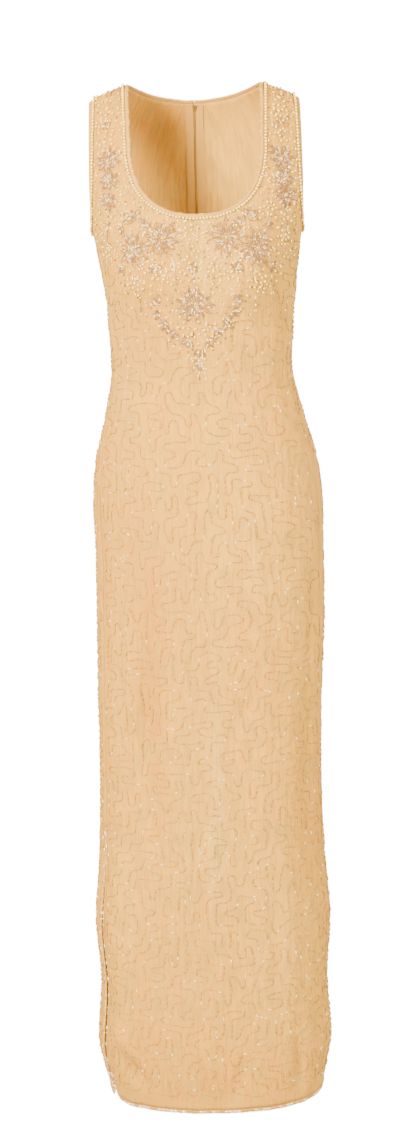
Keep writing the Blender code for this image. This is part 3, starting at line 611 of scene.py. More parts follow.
def silk_material():
    """Crepe silk: fine crinkle down the cloth, soft streaks of colour and a little sheen, with painted
    shade in the crinkle's grooves and patches of painted shade and painted highlight along folds.
    """
    made, tree, shader = new_material(
        "silk",
        Roughness=0.62,
        Specular_IOR_Level=0.18,
        Sheen_Weight=0.10,
        Sheen_Roughness=0.45,
        Sheen_Tint=(1.0, 0.80, 0.55, 1.0),
    )
    flat = node(tree, "UVMap", uv_map="flat").outputs["UV"]
    streaks = noise(tree, flat, (9.0, 1.3, 1.0), 3.0)
    patches = noise(tree, flat, (4.0, 3.0, 1.0), 2.0)
    crinkle = noise(tree, flat, (300.0, 26.0, 1.0), 3.0, 0.6)
    fine = noise(tree, flat, (1100.0, 160.0, 1.0), 2.0, 0.6)
    base = ramp(tree, streaks, (0.34, TAN), (0.50, PEACH), (0.66, PALE))
    # tint: warm and pale patches, partly painted shade and glow in folds and painted highlight on ridges.
    tint = node(tree, "Attribute", attribute_name="tint").outputs["Fac"]
    warm = ramp(tree, tint, (0.5, grey(0.0)), (1.0, grey(1.0)))
    pale = ramp(tree, tint, (0.0, grey(1.0)), (0.5, grey(0.0)))
    base = mixed(tree, warm, base, (*ORANGE, 1.0))
    base = mixed(tree, pale, base, (*PINK, 1.0))
    patch = ramp(tree, patches, (0.38, (0.97, 0.86, 0.72)), (0.62, grey(1.04)))
    base = mixed(tree, 0.8, base, patch, "MULTIPLY")
    small = noise(tree, flat, (42.0, 24.0, 1.0), 2.0)
    spots = ramp(tree, small, (0.40, grey(0.0)), (0.68, grey(0.80)))
    base = mixed(tree, spots, base, (*OLIVE, 1.0))
    # Painted shade: the grooves of the crinkle are coloured darker.
    crinkle_shade = ramp(tree, crinkle, (0.34, (0.80, 0.72, 0.62)), (0.60, grey(1.0)))
    base = mixed(tree, 0.75, base, crinkle_shade, "MULTIPLY")
    threads = node(tree, "Mapping", {"Vector": flat, "Scale": (THREADS_PER_METRE, THREADS_PER_METRE, 1.0)})
    weave = node(tree, "TexChecker", {"Vector": threads.outputs[0], "Scale": 1.0}).outputs["Fac"]
    pucker = noise(tree, flat, (75.0, 48.0, 1.0), 2.0)
    normal = None
    for height, strength, distance in (
        (pucker, 0.6, 0.0030),
        (crinkle, 1.0, 0.0016),
        (fine, 0.4, 0.0003),
        (weave, 0.15, 0.0001),
    ):
        normal = bump(tree, height, strength, distance, normal)
    link(tree, shader, {"Base Color": base, "Normal": normal})
    return made


def binding_material():
    """The folded strip on the edges: the same silk cut on the bias, a little smoother."""
    made, tree, shader = new_material("binding", Roughness=0.55, Specular_IOR_Level=0.2, Sheen_Weight=0.1)
    place = object_place(tree)
    grain = noise(tree, place, (700.0, 700.0, 260.0), 3.0, 0.6)
    shade = noise(tree, place, (22.0, 22.0, 22.0), 2.0)
    base = ramp(tree, shade, (0.35, (0.54, 0.29, 0.07)), (0.68, (0.60, 0.34, 0.10)))
    dark = ramp(tree, grain, (0.3, (0.84, 0.78, 0.70)), (0.65, grey(1.0)))
    base = mixed(tree, 0.6, base, dark, "MULTIPLY")
    link(tree, shader, {"Base Color": base, "Normal": bump(tree, grain, 0.5, 0.0004)})
    return made


def bead_material(name, stops, silvered=None, **values):
    """Glass or pearl, its colour set by each bead's own tone.

    Beads whose tone is above silvered have a silver lining, which mirrors the light. The lightest stops of
    a bead's colour are painted glints, near white however the light falls.
    """
    made, tree, shader = new_material(name, **values)
    tone = node(tree, "Attribute", attribute_name="tone").outputs["Fac"]
    place = object_place(tree)
    cloudy = noise(tree, place, grey(900.0), 1.0)
    veil = ramp(tree, cloudy, (0.3, grey(0.90)), (0.7, grey(1.0)))
    link(tree, shader, {"Base Color": mixed(tree, 0.6, ramp(tree, tone, *stops), veil, "MULTIPLY")})
    if silvered:
        metal = ramp(tree, tone, (silvered - 0.02, grey(0.0)), (silvered + 0.02, grey(0.35)))
        link(tree, shader, {"Metallic": metal})
    return made


def tape_material():
    made, tree, shader = new_material("zip_tape", Roughness=0.75, Specular_IOR_Level=0.2)
    place = object_place(tree)
    ribs = node(tree, "TexWave", {"Vector": place, "Scale": 420.0}, bands_direction="Z").outputs["Fac"]
    base = ramp(tree, ribs, (0.2, (0.50, 0.28, 0.08)), (0.8, (0.58, 0.34, 0.10)))
    link(tree, shader, {"Base Color": base, "Normal": bump(tree, ribs, 0.5, 0.0002)})
    return made


def coil_material():
    made, tree, shader = new_material("zip_coil", Roughness=0.6, Specular_IOR_Level=0.2)
    place = object_place(tree)
    tint = noise(tree, place, grey(300.0), 1.0)
    base = ramp(tree, tint, (0.3, (0.34, 0.19, 0.06)), (0.7, (0.42, 0.24, 0.08)))
    link(tree, shader, {"Base Color": base})
    return made


def metal_material():
    """Lacquered metal, with fine wear that shows as brighter, smoother patches."""
    made, tree, shader = new_material("zip_metal", Metallic=0.9, Roughness=0.3)
    place = object_place(tree)
    wear = noise(tree, place, grey(900.0), 4.0, 0.7)
    base = ramp(tree, wear, (0.35, (0.60, 0.38, 0.15)), (0.62, (0.74, 0.52, 0.26)))
    gloss = ramp(tree, wear, (0.35, grey(0.42)), (0.65, grey(0.22)))
    link(tree, shader, {"Base Color": base, "Roughness": gloss})
    return made


SILK = silk_material()
BINDING = binding_material()
# The lightest stops of these glass colours are painted glints and highlights.
BUGLE_GLASS = bead_material(
    "bugle_glass",
    ((0.0, (0.38, 0.195, 0.048)), (0.76, (0.56, 0.32, 0.095)), (0.82, (1.0, 0.97, 0.92)), (1.0, grey(1.0))),
    silvered=0.82,
    Roughness=0.32,
    Specular_IOR_Level=0.45,
)
FLOWER_GLASS = bead_material(
    "flower_glass",
    (
        (0.0, (0.24, 0.120, 0.070)),
        (0.50, (0.38, 0.205, 0.105)),
        (0.74, (0.58, 0.40, 0.36)),
        (0.86, (1.0, 0.95, 1.0)),
    ),
    silvered=0.84,
    Roughness=0.20,
    Specular_IOR_Level=0.5,
)
SEED_GLASS = bead_material(
    "seed_glass",
    ((0.0, (0.34, 0.19, 0.075)), (0.6, (0.56, 0.34, 0.14)), (0.84, (0.98, 0.86, 0.66))),
    silvered=0.86,
    Roughness=0.22,
    Specular_IOR_Level=0.5,
)
# The darkest stops are the painted shade at a pearl's foot, the lightest its painted highlights.
PEARL = bead_material(
    "pearl",
    (
        (0.0, (0.36, 0.17, 0.03)),
        (0.30, (0.62, 0.36, 0.07)),
        (0.62, (1.0, 0.80, 0.22)),
        (1.0, (1.0, 0.94, 0.50)),
    ),
    Roughness=0.25,
    Specular_IOR_Level=0.5,
    Metallic=0.25,
    Coat_Weight=0.6,
    Coat_Roughness=0.10,
)
# Dark thread: the seam threads, and the knots between the pearls, which are partly couching thread and
# partly painted shadow.
THREAD_AND_SHADOW = bead_material("couching_and_shadow", ((0.0, (0.26, 0.12, 0.02)), (1.0, (0.40, 0.20, 0.05))), Roughness=0.6)


# ================================================================ meshes


def new_object(name, vertices, corners, counts, finish, slot):
    """A mesh from vertices, the vertex numbers of all faces in a row, and how many each face has."""
    mesh = bpy.data.meshes.new(name)
    mesh.vertices.add(len(vertices))
    mesh.vertices.foreach_set("co", np.asarray(vertices, np.float32).ravel())
    mesh.loops.add(len(corners))
    mesh.loops.foreach_set("vertex_index", np.asarray(corners, np.int32))
    mesh.polygons.add(len(counts))
    starts = np.concatenate([[0], np.cumsum(counts)[:-1]])
    mesh.polygons.foreach_set("loop_start", starts.astype(np.int32))
    mesh.update(calc_edges=True)
    mesh.shade_smooth()
    mesh.materials.append(finish)
    made = bpy.data.objects.new(name, mesh)
    bpy.context.scene.collection.objects.link(made)
    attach(made, "gown")
    return made


# The size of the cloth's cells, and how many metres a radian round the form stands for in them.
CELL = 0.0055
EDGE_CLEAR = 0.45 * CELL
METRES_PER_RADIAN = math.degrees(METRES_PER_DEGREE)


def flat_faces(faces):
    return [i for face in faces for i in face], [len(face) for face in faces]


def set_flat_uv(made, across, down):
    """The cloth's own layout in metres, for its threads and crinkle."""
    layer = made.data.uv_layers.new(name="flat")
    index = np.empty(len(made.data.loops), np.int32)
    made.data.loops.foreach_get("vertex_index", index)
    layer.data.foreach_set("uv", np.stack([across, -down], axis=1)[index].astype(np.float32).ravel())


def walled(outer, inner, triangles):
    """Vertices and faces of a closed wall between two copies of one triangulated sheet."""
    count = len(outer)
    uses = {(a, b) for t in triangles for a, b in zip(t, (*t[1:], t[0]))}
    rim = sorted((a, b) for a, b in uses if (b, a) not in uses)
    faces = [tuple(t) for t in triangles]
    faces += [tuple(count + i for i in reversed(t)) for t in triangles]
    faces += [(b, a, a + count, b + count) for a, b in rim]
    return np.concatenate([outer, inner]), faces


def within(points, outline):
    """Which flat points the outline goes round."""
    x, y = points[:, 0], points[:, 1]
    found = np.zeros(len(points), dtype=bool)
    for a, b in zip(outline, np.roll(outline, -1, axis=0)):
        crosses = (a[1] > y) != (b[1] > y)
        rise = b[1] - a[1] if b[1] != a[1] else 1.0
        found ^= crosses & (x < (b[0] - a[0]) * (y - a[1]) / rise + a[0])
    return found


def nearest_to_line(points, line):
    """How far flat points lie from a line of flat points."""
    nearest = np.full(len(points), np.inf)
    for a, b in zip(line, line[1:]):
        low, high = np.minimum(a, b) - CELL, np.maximum(a, b) + CELL
        near = np.flatnonzero(((points > low) & (points < high)).all(axis=1))
        offset, run = points[near] - a, b - a
        share = np.clip(offset @ run / max(run @ run, 1e-12), 0.0, 1.0)
        nearest[near] = np.minimum(nearest[near], np.linalg.norm(offset - share[:, None] * run, axis=1))
    return nearest


# Soft patches of colour, partly uneven colour of the silk and partly painted shade and glow in folds and
# near the hem (warmer) and painted highlight on ridges (paler): place on the chart, half width and half
# height, and how much warmer (or paler, below 0).
TINTS = (
    (-0.128, 0.12, 0.04, 0.13, 0.75), (0.125, 0.12, 0.04, 0.13, 0.35), (-0.083, 0.845, 0.019, 0.16, 1.3),
    (-0.07, 1.06, 0.02, 0.11, 0.75), (-0.118, 0.68, 0.015, 0.1, 0.4), (0.008, 0.92, 0.01, 0.17, -1.0),
    (0.006, 1.16, 0.012, 0.09, -0.8), (-0.14, 0.9, 0.012, 0.16, -0.4), (-0.11, 0.48, 0.03, 0.05, -0.55),
    (0.06, 0.7, 0.014, 0.12, -0.25), (-0.03, 0.56, 0.03, 0.06, 0.3), (0.045, 0.53, 0.02, 0.06, 0.3),
    (-0.12, 1.42, 0.05, 0.09, 0.7), (0.02, 1.45, 0.12, 0.09, 0.85), (-0.185, 1.25, 0.03, 0.2, 0.7),
    (0.172, 0.62, 0.022, 0.11, -0.75), (0.2, 1.0, 0.03, 0.25, 0.3), (-0.195, 0.64, 0.03, 0.15, 0.2),
    (0.36, 0.85, 0.02, 0.16, 0.5), (-0.33, 0.95, 0.02, 0.18, 0.55), (0.3, 1.2, 0.016, 0.14, -0.5),
    (-0.28, 0.56, 0.03, 0.08, -0.35),
)


def tint_at(across, down):
    """The warmth of the cloth's colour, from 0 (pale) to 1 (warm), with 0.5 plain; partly painted shade and
    painted highlight.
    """
    total = np.zeros_like(across)
    for middle_across, middle_down, wide, tall, amount in TINTS:
        aside, along = (across - middle_across) / wide, (down - middle_down) / tall
        total = total + amount * np.exp(-(aside**2) - along**2)
    return np.clip(0.5 + 0.5 * total, 0.0, 1.0)


def cut_panel(name, outline_path, node_name):
    """A cut piece of cloth: its outline filled with fine cells, laid on the form and given its wall."""
    outline = np.column_stack([outline_path[:, 0] * METRES_PER_RADIAN, -lengths_at(outline_path[:, 1])])
    low, high = outline.min(axis=0), outline.max(axis=0)
    x, y = np.meshgrid(np.arange(low[0], high[0], CELL), np.arange(low[1], high[1], CELL))
    grid = np.column_stack([x.ravel(), y.ravel()])
    chosen = within(grid, outline) & (nearest_to_line(grid, with_first(outline)) > EDGE_CLEAR)
    points = np.concatenate([outline, grid[chosen]])
    found = delaunay_2d_cdt([tuple(p) for p in points], [], [list(range(len(outline)))], 1, 1e-7)
    flat = np.array([tuple(p) for p in found[0]])
    angle = flat[:, 0] / METRES_PER_RADIAN
    row = rows_at(-flat[:, 1])
    outer = cloth(angle, row)
    inner = outer - normal_of(cloth, angle, row) * WALL
    vertices, faces = walled(outer, inner, found[2])
    made = new_object(name, vertices, *flat_faces(faces), SILK, "silk")
    across, down = chart_from_form(angle, row)
    set_flat_uv(made, np.tile(across, 2), np.tile(down, 2))
    # Warm and pale patches, partly painted shade and painted highlight along folds.
    tint = made.data.attributes.new("tint", "FLOAT", "POINT")
    tint.data.foreach_set("value", np.tile(tint_at(across, down), 2).astype(np.float32))
    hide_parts(node_name)
    return made


# The cross-section of a folded edge, as turns round an oval.
EDGE_SIDES = 10


def folded_edge(name, path, node_name, closed=False):
    """A folded strip along an edge, on the left of the path, with rounded sides."""
    points, normals, left = edge_frame(path, closed)
    rings = []
    for turn in np.linspace(0.0, math.tau, EDGE_SIDES, endpoint=False):
        c, s = math.cos(turn), math.sin(turn)
        aside = 0.5 + 0.5 * math.copysign(abs(c) ** 0.6, c)
        up = 0.5 * math.copysign(abs(s) ** 0.6, s)
        rings.append(points + left * BINDING_WIDTH * aside + normals * (BINDING_THICK * up - WALL / 2))
    count = len(path)
    vertices = np.stack(rings, axis=1).reshape(-1, 3)
    faces = []
    for i in range(count if closed else count - 1):
        for k in range(EDGE_SIDES):
            j, m = (i + 1) % count, (k + 1) % EDGE_SIDES
            low, high = i * EDGE_SIDES, j * EDGE_SIDES
            faces.append((low + m, low + k, high + k, high + m))
    if not closed:
        faces.append(tuple(range(EDGE_SIDES)))
        faces.append(tuple((count - 1) * EDGE_SIDES + k for k in reversed(range(EDGE_SIDES))))
    made = new_object(name, vertices, *flat_faces(faces), BINDING, "binding")
    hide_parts(node_name)
    return made


# ---------------------------------------------------------------- beads


def turned(profile, sides):
    """A closed solid turned from (radius, height) pairs, its ends closed by a face or a point."""
    rings, vertices, faces = [], [], []
    for radius, height in profile:
        if radius == 0.0:
            rings.append([len(vertices)] * sides)
            vertices.append((0.0, 0.0, height))
            continue
        rings.append(list(range(len(vertices), len(vertices) + sides)))
        for k in range(sides):
            turn = math.tau * k / sides
            vertices.append((radius * math.cos(turn), radius * math.sin(turn), height))
    for low, high in zip(rings, rings[1:]):
        for k in range(sides):
            m = (k + 1) % sides
            corners = dict.fromkeys((low[k], low[m], high[m], high[k]))
            faces.append(tuple(corners))
    if profile[0][0] > 0.0:
        faces.append(tuple(reversed(rings[0])))
    if profile[-1][0] > 0.0:
        faces.append(tuple(rings[-1]))
    return np.array(vertices), faces


def ball(sides, rings):
    turns = np.linspace(-math.pi / 2, math.pi / 2, rings + 1)
    profile = [(0.0 if abs(t) > 1.57 else math.cos(t), math.sin(t)) for t in turns]
    return turned(profile, sides)


# Unit shapes: radius 1 and, along the thread, from -1 to 1.
BUGLE = turned(((0.0, -1.0), (1.0, -0.88), (1.0, 0.88), (0.0, 1.0)), 6)
SEED = turned(((0.0, -1.0), (1.0, -0.35), (1.0, 0.35), (0.0, 1.0)), 6)
ROUND_PEARL = ball(10, 6)


def same_size(count, radius, half):
    return np.tile((radius, half), (count, 1))


def beads(name, shape, centres, along, outward, sizes, tones, finish, slot="silk", foot=0.0):
    """One mesh of many beads. sizes has a radius and a half length for each bead.

    foot is how much darker a bead is painted where it meets the cloth than on its top: painted shade.
    """
    template, faces = shape
    along = unit(along)
    outward = unit(outward - along * (outward * along).sum(axis=1, keepdims=True))
    across = np.cross(outward, along)
    radius, half = sizes[:, 0, None, None], sizes[:, 1, None, None]
    placed = centres[:, None] + template[None, :, 0, None] * across[:, None] * radius
    placed = placed + template[None, :, 1, None] * outward[:, None] * radius
    placed = placed + template[None, :, 2, None] * along[:, None] * half
    corners, counts = flat_faces(faces)
    shift = np.arange(len(centres))[:, None] * len(template)
    made = new_object(
        name,
        placed.reshape(-1, 3),
        (np.array(corners)[None] + shift).ravel(),
        np.tile(counts, len(centres)),
        finish,
        slot,
    )
    tone = made.data.attributes.new("tone", "FLOAT", "POINT")
    # Painted shade: each bead darker towards the side that faces the cloth.
    shade = tones[:, None] - foot * (1.0 - template[None, :, 1]) / 2
    tone.data.foreach_set("value", shade.ravel().astype(np.float32))
    return made


# The darkest tone of a bead with a painted glint, and the lightest of one without
DULLEST_GLINT = 0.88
BRIGHTEST_WITHOUT_GLINT = 0.75


def tones(count, share_bright=0.0):
    """Each bead's own tone, dark to light; a share of them are painted glints, near 1."""
    made = RANDOM.uniform(0.0, BRIGHTEST_WITHOUT_GLINT, count)
    bright = RANDOM.uniform(0.0, 1.0, count) < share_bright
    return np.where(bright, RANDOM.uniform(DULLEST_GLINT, 1.0, count), made)


# ================================================================ the cloth pieces

EDGE_TO_PANEL = BINDING_WIDTH + SEAM_GAP
SHOULDER_ROW = float(rows_at(SEAM_GAP / 2))


def end_at_shoulder(path, ends):
    """The path with its named ends set at the shoulder seam, half a seam gap from row 0."""
    path = path.copy()
    for end in ends:
        path[end, 1] = SHOULDER_ROW
    return path


def shoulder_seam(start, end):
    """The points of a shoulder seam between two ends, which are left out."""
    angles = np.linspace(start[0], end[0], 12)[1:-1]
    return np.column_stack([angles, np.full(len(angles), SHOULDER_ROW)])


def armhole_inside(side):
    """The inner side of the bound armhole, where the panels end."""
    return moved_left(armhole(side), -side * EDGE_TO_PANEL)


def side_seam(side, towards, top_row):
    """The side seam of one panel, from under the arm down to the top of the slit.

    towards is -1 on the front, 1 on the back and 0 for the middle of the seam.
    """
    drops = np.linspace(float(section("drop", top_row)), SLIT_TOP, 150)
    rows = row_at_drop(drops)
    seam = seam_angle(side, drops)
    angles = seam + towards * SEAM_GAP / 2 / metres_per_radian(side * seam, rows)
    return np.column_stack([side * angles, rows])


def panel_side(side, towards):
    """The armhole of one panel from its shoulder, its side seam and the top of its slit."""
    loop = armhole_inside(side)
    middle = len(loop) // 2
    curve = loop[:middle] if towards < 0 else loop[:middle:-1]
    curve = end_at_shoulder(curve, [0])
    return np.concatenate([curve, side_seam(side, towards, loop[middle, 1])])


def make_front():
    neck_left, neck_right = front_neck(1), front_neck(-1)
    neck = np.concatenate([neck_right, neck_left[-2::-1]])
    neck = end_at_shoulder(moved_left(neck, -EDGE_TO_PANEL), [0, -1])
    left, right = panel_side(1, -1), panel_side(-1, -1)
    edge_left, edge_right = (slit_and_hem(side, -1, 0.0, HEM_STATIONS) for side in (1, -1))
    edge = np.concatenate([edge_left, edge_right[-2::-1]])
    hem = moved_left(edge, -EDGE_TO_PANEL)
    hem[[0, -1], 1] = row_at_drop(SLIT_TOP)
    shoulders = shoulder_seam(neck[-1], left[0]), shoulder_seam(right[0], neck[0])
    outline = np.concatenate([neck, shoulders[0], left, hem, right[::-1], shoulders[1]])
    panel = cut_panel("front_cloth", outline, "front_panel")
    return panel, folded_edge("front_hem_edge", edge[::-1], "hem_front"), edge[::-1]


def rows_down_back(lengths):
    """Rows on the centre back at lengths below the finished neck edge."""
    z = shoulder_rise(0.0, DENSE_DROPS) - DENSE_DROPS
    measured = lengths_down(section("back", DENSE_ROWS), z)
    top = np.interp(back_neck(1)[-1, 1], DENSE_ROWS, measured)
    return np.interp(top + np.asarray(lengths), measured, DENSE_ROWS)


def centre_back(side, first_row, last_row):
    """The centre back edge of one half, with its notch for the neck of the zip slider."""
    notch_half = SLIDER_NECK_LENGTH / 2 + 2 * SEAM_GAP
    notch = rows_down_back([SLIDER_DOWN - notch_half, SLIDER_DOWN + notch_half])
    below = row_at_drop(np.linspace(section("drop", notch[1]), section("drop", last_row), 180)[1:])
    rows = np.concatenate([[first_row], notch[:1], notch, notch[1:], below])
    out = np.full(len(rows), SEAM_GAP / 2)
    out[2:4] = SLIT_FOR_NECK
    return np.column_stack([side * (math.pi - angle_at(out, rows)), rows])


def make_back(side, name):
    neck = back_neck(side)
    inner_neck = end_at_shoulder(moved_left(neck, -side * EDGE_TO_PANEL), [0])
    curve = panel_side(side, 1)
    edge = slit_and_hem(side, 1, math.pi - HEM_END_TURN, BACK_HEM_STATIONS)
    hem = moved_left(edge, side * EDGE_TO_PANEL)
    hem[0, 1] = row_at_drop(SLIT_TOP)
    centre = centre_back(side, inner_neck[-1, 1], hem[-1, 1])
    shoulder = shoulder_seam(curve[0], inner_neck[0])
    outline = np.concatenate([inner_neck[:-1], centre, hem[-2::-1], curve[::-1], shoulder])
    panel = cut_panel("back_cloth_" + name, outline if side > 0 else outline[::-1], "back_panel_" + name)
    travel = edge if side > 0 else edge[::-1]
    return panel, folded_edge("back_hem_edge_" + name, travel, "hem_back_" + name), travel


def neck_path():
    """From the centre back over the left shoulder, round the front and back again."""
    left, right = back_neck(1), back_neck(-1)
    for edge, side in ((left, 1), (right, -1)):
        edge[-1, 0] = side * (math.pi - angle_at(np.array([SEAM_GAP]), edge[-1:, 1])[0])
    front = np.concatenate([front_neck(1), front_neck(-1)[-2::-1]])
    return np.concatenate([left[:0:-1], front, right[1:]])


def armhole_path(side):
    loop = armhole(side)[:-1]
    return loop[::-1] if side > 0 else loop


# ================================================================ beads along the edges

PEARL_RADIUS = 0.00205
PEARL_PITCH = 0.0047
PEARL_IN = 0.0066
ARM_PEARL_IN = 0.0100
# How high the top of a folded edge stands over the face of the cloth.
EDGE_TOP = BINDING_THICK / 2 - WALL / 2
PEARL_SUNK = 0.70
# foot is the painted shade at each pearl's foot; bright is the share with a painted highlight.
PEARL_LOOK = {"bright": 0.3, "foot": 0.9, "base": 0.8}
# Dark knots between the pearls: partly couching thread, partly painted shadow between the pearls.
COUCHING_SHADOW_RADIUS = 0.00095
COUCHING_SHADOW_HALF = 0.0015
COUCHING_SHADOW_PITCH = 0.0030
COUCHING_SHADOW_LIFT = 0.0006
SEED_RADIUS = 0.0011
SEED_HALF = 0.0010
SEED_PITCH = 0.0029
# The share of seed beads on the folded edges with a painted glint.
SEED_BRIGHT = 0.06
HEM_SEED_RADIUS = 0.0012
HEM_SEED_IN = 0.0004
HEM_SEED_LIFT = 0.0002
HEM_BUGLE_LIFT = 0.0005
HEM_SEED_PITCH = 0.0024
HEM_BUGLE_RADIUS = 0.0010
HEM_BUGLE_HALF = 0.0024
HEM_BUGLE_PITCH = 0.0062
HEM_BUGLE_IN = 0.0034
# A share of the hem's beads have a painted glint, and base is their darkest tone.
HEM_LOOK = {"bright": 0.5, "base": 0.4}
# Above this height a slit has only one bead in four of those that the hem has.
HEM_BEADS_TOP = -1.43
BEAD_JITTER = 0.00012
# The pearls of the neck stop here on each side of the zip, to leave room for its pull.
PULL_CLEAR = PULL_HALF + PEARL_RADIUS + 0.0008


def edge_line(path, aside, closed=False):
    """Points and normals of a line beside an edge path, on its left."""
    points, normals, left = edge_frame(path, closed)
    line = points + left * aside
    return (with_first(line), with_first(normals)) if closed else (line, normals)


def spaced(line, normals, pitch):
    """Evenly spaced places along a line: centres, directions and normals."""
    run = run_along(line)
    count = max(2, int(round(run[-1] / pitch)))
    at = (np.arange(count) + 0.5) * run[-1] / count
    ahead = read_line(at + pitch / 4, run, line) - read_line(at - pitch / 4, run, line)
    return read_line(at, run, line), ahead, unit(read_line(at, run, normals))


def everywhere(places, *_):
    return np.ones(len(places), bool)


def clear_of_pull(centres):
    return (centres[:, 1] < 0.0) | (np.abs(centres[:, 0]) > PULL_CLEAR)


def near_hem(centres):
    """Every bead along the hem, and up the slits only one in four."""
    return (centres[:, 2] < HEM_BEADS_TOP) | (np.arange(len(centres)) % 4 == 0)


def row_of_beads(
    name, shape, finish, path, aside, lift, pitch, radius, half,
    bright=0.0, foot=0.0, base=0.0, closed=False, keep=everywhere,
):
    """Beads one after another along a line beside an edge.

    A share of them, bright, are painted glints, and base is the darkest tone of any.
    """
    centres, along, outward = spaced(*edge_line(path, aside, closed), pitch)
    kept = keep(centres)
    centres, along, outward = centres[kept], along[kept], outward[kept]
    count = len(centres)
    jitter = RANDOM.normal(0.0, BEAD_JITTER, (count, 3))
    sizes = same_size(count, radius, half) * RANDOM.uniform(0.94, 1.05, (count, 1))
    tone = np.maximum(tones(count, bright), base)
    placed = centres + outward * lift + jitter
    return beads(name, shape, placed, along, outward, sizes, tone, finish, "binding", foot)


def bead_edge(name, path, aside, closed=False):
    """The pearls of a bound edge, dark knots between them that are partly couching thread and partly
    painted shadow between the pearls, and the seed beads on the fold.
    """
    inner, lift = moved_left(path, aside), PEARL_SUNK * PEARL_RADIUS + EDGE_TOP
    row_of_beads(
        name + "_pearls", ROUND_PEARL, PEARL, inner, 0.0, lift, PEARL_PITCH, PEARL_RADIUS, PEARL_RADIUS,
        closed=closed, keep=clear_of_pull, **PEARL_LOOK,
    )
    # Dark knots between the pearls: partly couching thread, partly painted shadow.
    row_of_beads(
        name + "_couching", BUGLE, THREAD_AND_SHADOW, inner, 0.0, COUCHING_SHADOW_LIFT, COUCHING_SHADOW_PITCH, COUCHING_SHADOW_RADIUS,
        COUCHING_SHADOW_HALF, closed=closed, keep=clear_of_pull,
    )
    row_of_beads(
        name + "_seeds", SEED, SEED_GLASS, path, 0.0, -WALL / 2, SEED_PITCH, SEED_RADIUS, SEED_HALF,
        bright=SEED_BRIGHT, closed=closed,
    )


def bead_hem(name, path):
    """Silvery seeds and short bugles on the rolled edge."""
    row_of_beads(
        name + "_seeds", SEED, FLOWER_GLASS, path, HEM_SEED_IN, HEM_SEED_LIFT,
        HEM_SEED_PITCH, HEM_SEED_RADIUS, SEED_HALF, keep=near_hem, **HEM_LOOK,
    )
    row_of_beads(
        name + "_bugles", BUGLE, FLOWER_GLASS, path, HEM_BUGLE_IN, EDGE_TOP + HEM_BUGLE_LIFT,
        HEM_BUGLE_PITCH, HEM_BUGLE_RADIUS, HEM_BUGLE_HALF, keep=near_hem, **HEM_LOOK,
    )


CORD_RADIUS = 0.0006
CORD_PITCH = 0.003


def shoulder_line(side):
    """The shoulder seam from the bound neck edge to the bound armhole."""
    ends = np.array([NECK_HALF_AT_SHOULDER + EDGE_TO_PANEL, ARMHOLE_HALF_AT_SHOULDER - EDGE_TO_PANEL])
    first, last = angle_at(ends, np.zeros(2))
    return np.column_stack([side * np.linspace(first, last, 12), np.zeros(12)])


def side_line(side):
    loop = armhole_inside(side)
    return side_seam(side, 0, loop[len(loop) // 2, 1])


def close_seams(hems):
    """A thread in the gap of each seam but the centre back, so that nothing shows through it."""
    aside = BINDING_WIDTH + SEAM_GAP / 2
    seams = [(neck_path(), aside, False), (armhole_path(1), aside, True), (armhole_path(-1), aside, True)]
    seams += [(path, aside, False) for path in hems]
    seams += [(line(side), 0.0, False) for line in (shoulder_line, side_line) for side in (1, -1)]
    found = [spaced(*edge_line(*seam), CORD_PITCH) for seam in seams]
    centres, along, outward = (np.concatenate(parts) for parts in zip(*found))
    sizes, tone = same_size(len(centres), CORD_RADIUS, 0.65 * CORD_PITCH), np.ones(len(centres))
    placed = centres - outward * WALL / 2
    beads("seam_threads", BUGLE, placed, along, outward, sizes, tone, THREAD_AND_SHADOW, "binding")


# ================================================================ meander of bugles

BUGLE_HALF = 0.0031
BUGLE_RADIUS = 0.00074
BUGLE_PITCH = 0.0075
BUGLE_SHIFT = 0.0004
BUGLE_TILT = 0.10
# Bugles with a painted glint are this much shorter, like a highlight along a bead.
GLINT_LENGTH = 0.7
STRAND_GAP = 0.0106
STRAND_JITTER = 0.45
STRAND_STEP = 0.0028
STRAND_REACH = 0.0076
RELAX_ROUNDS = 16
RELAX_PUSH = 0.3
RELAX_BEND = 0.1
# The sides of the filled region wander by this share of SEAM_CLEAR, in two waves down the gown.
SWAY = 0.45
SWAY_WAVES = (150.0, 97.0)
SWAY_SHIFT = 7
TURN_AGAIN = 0.9
SMALLEST_LOOP = 12
# The share of bugles with a painted glint.
GLINT_SHARE = 0.085
WAYS = ((1, 0), (-1, 0), (0, 1), (0, -1))


def random_trees(cells):
    """The joined pairs of neighbouring cells, in a random tree over each island of cells."""
    wide, tall = cells.shape
    joined, reached = [], set()
    for start in np.argwhere(cells).tolist():
        if tuple(start) in reached:
            continue
        reached.add(tuple(start))
        edge = [(tuple(start), way, None) for way in WAYS]
        while edge:
            cell, way, came = edge.pop(int(RANDOM.integers(len(edge))))
            if way == came and RANDOM.uniform() < TURN_AGAIN:
                edge.append((cell, way, came))
                continue
            other = (cell[0] + way[0], cell[1] + way[1])
            inside = 0 <= other[0] < wide and 0 <= other[1] < tall
            if inside and cells[other] and other not in reached:
                reached.add(other)
                joined.append((cell, other))
                edge += [(other, turn, way) for turn in WAYS]
    return joined


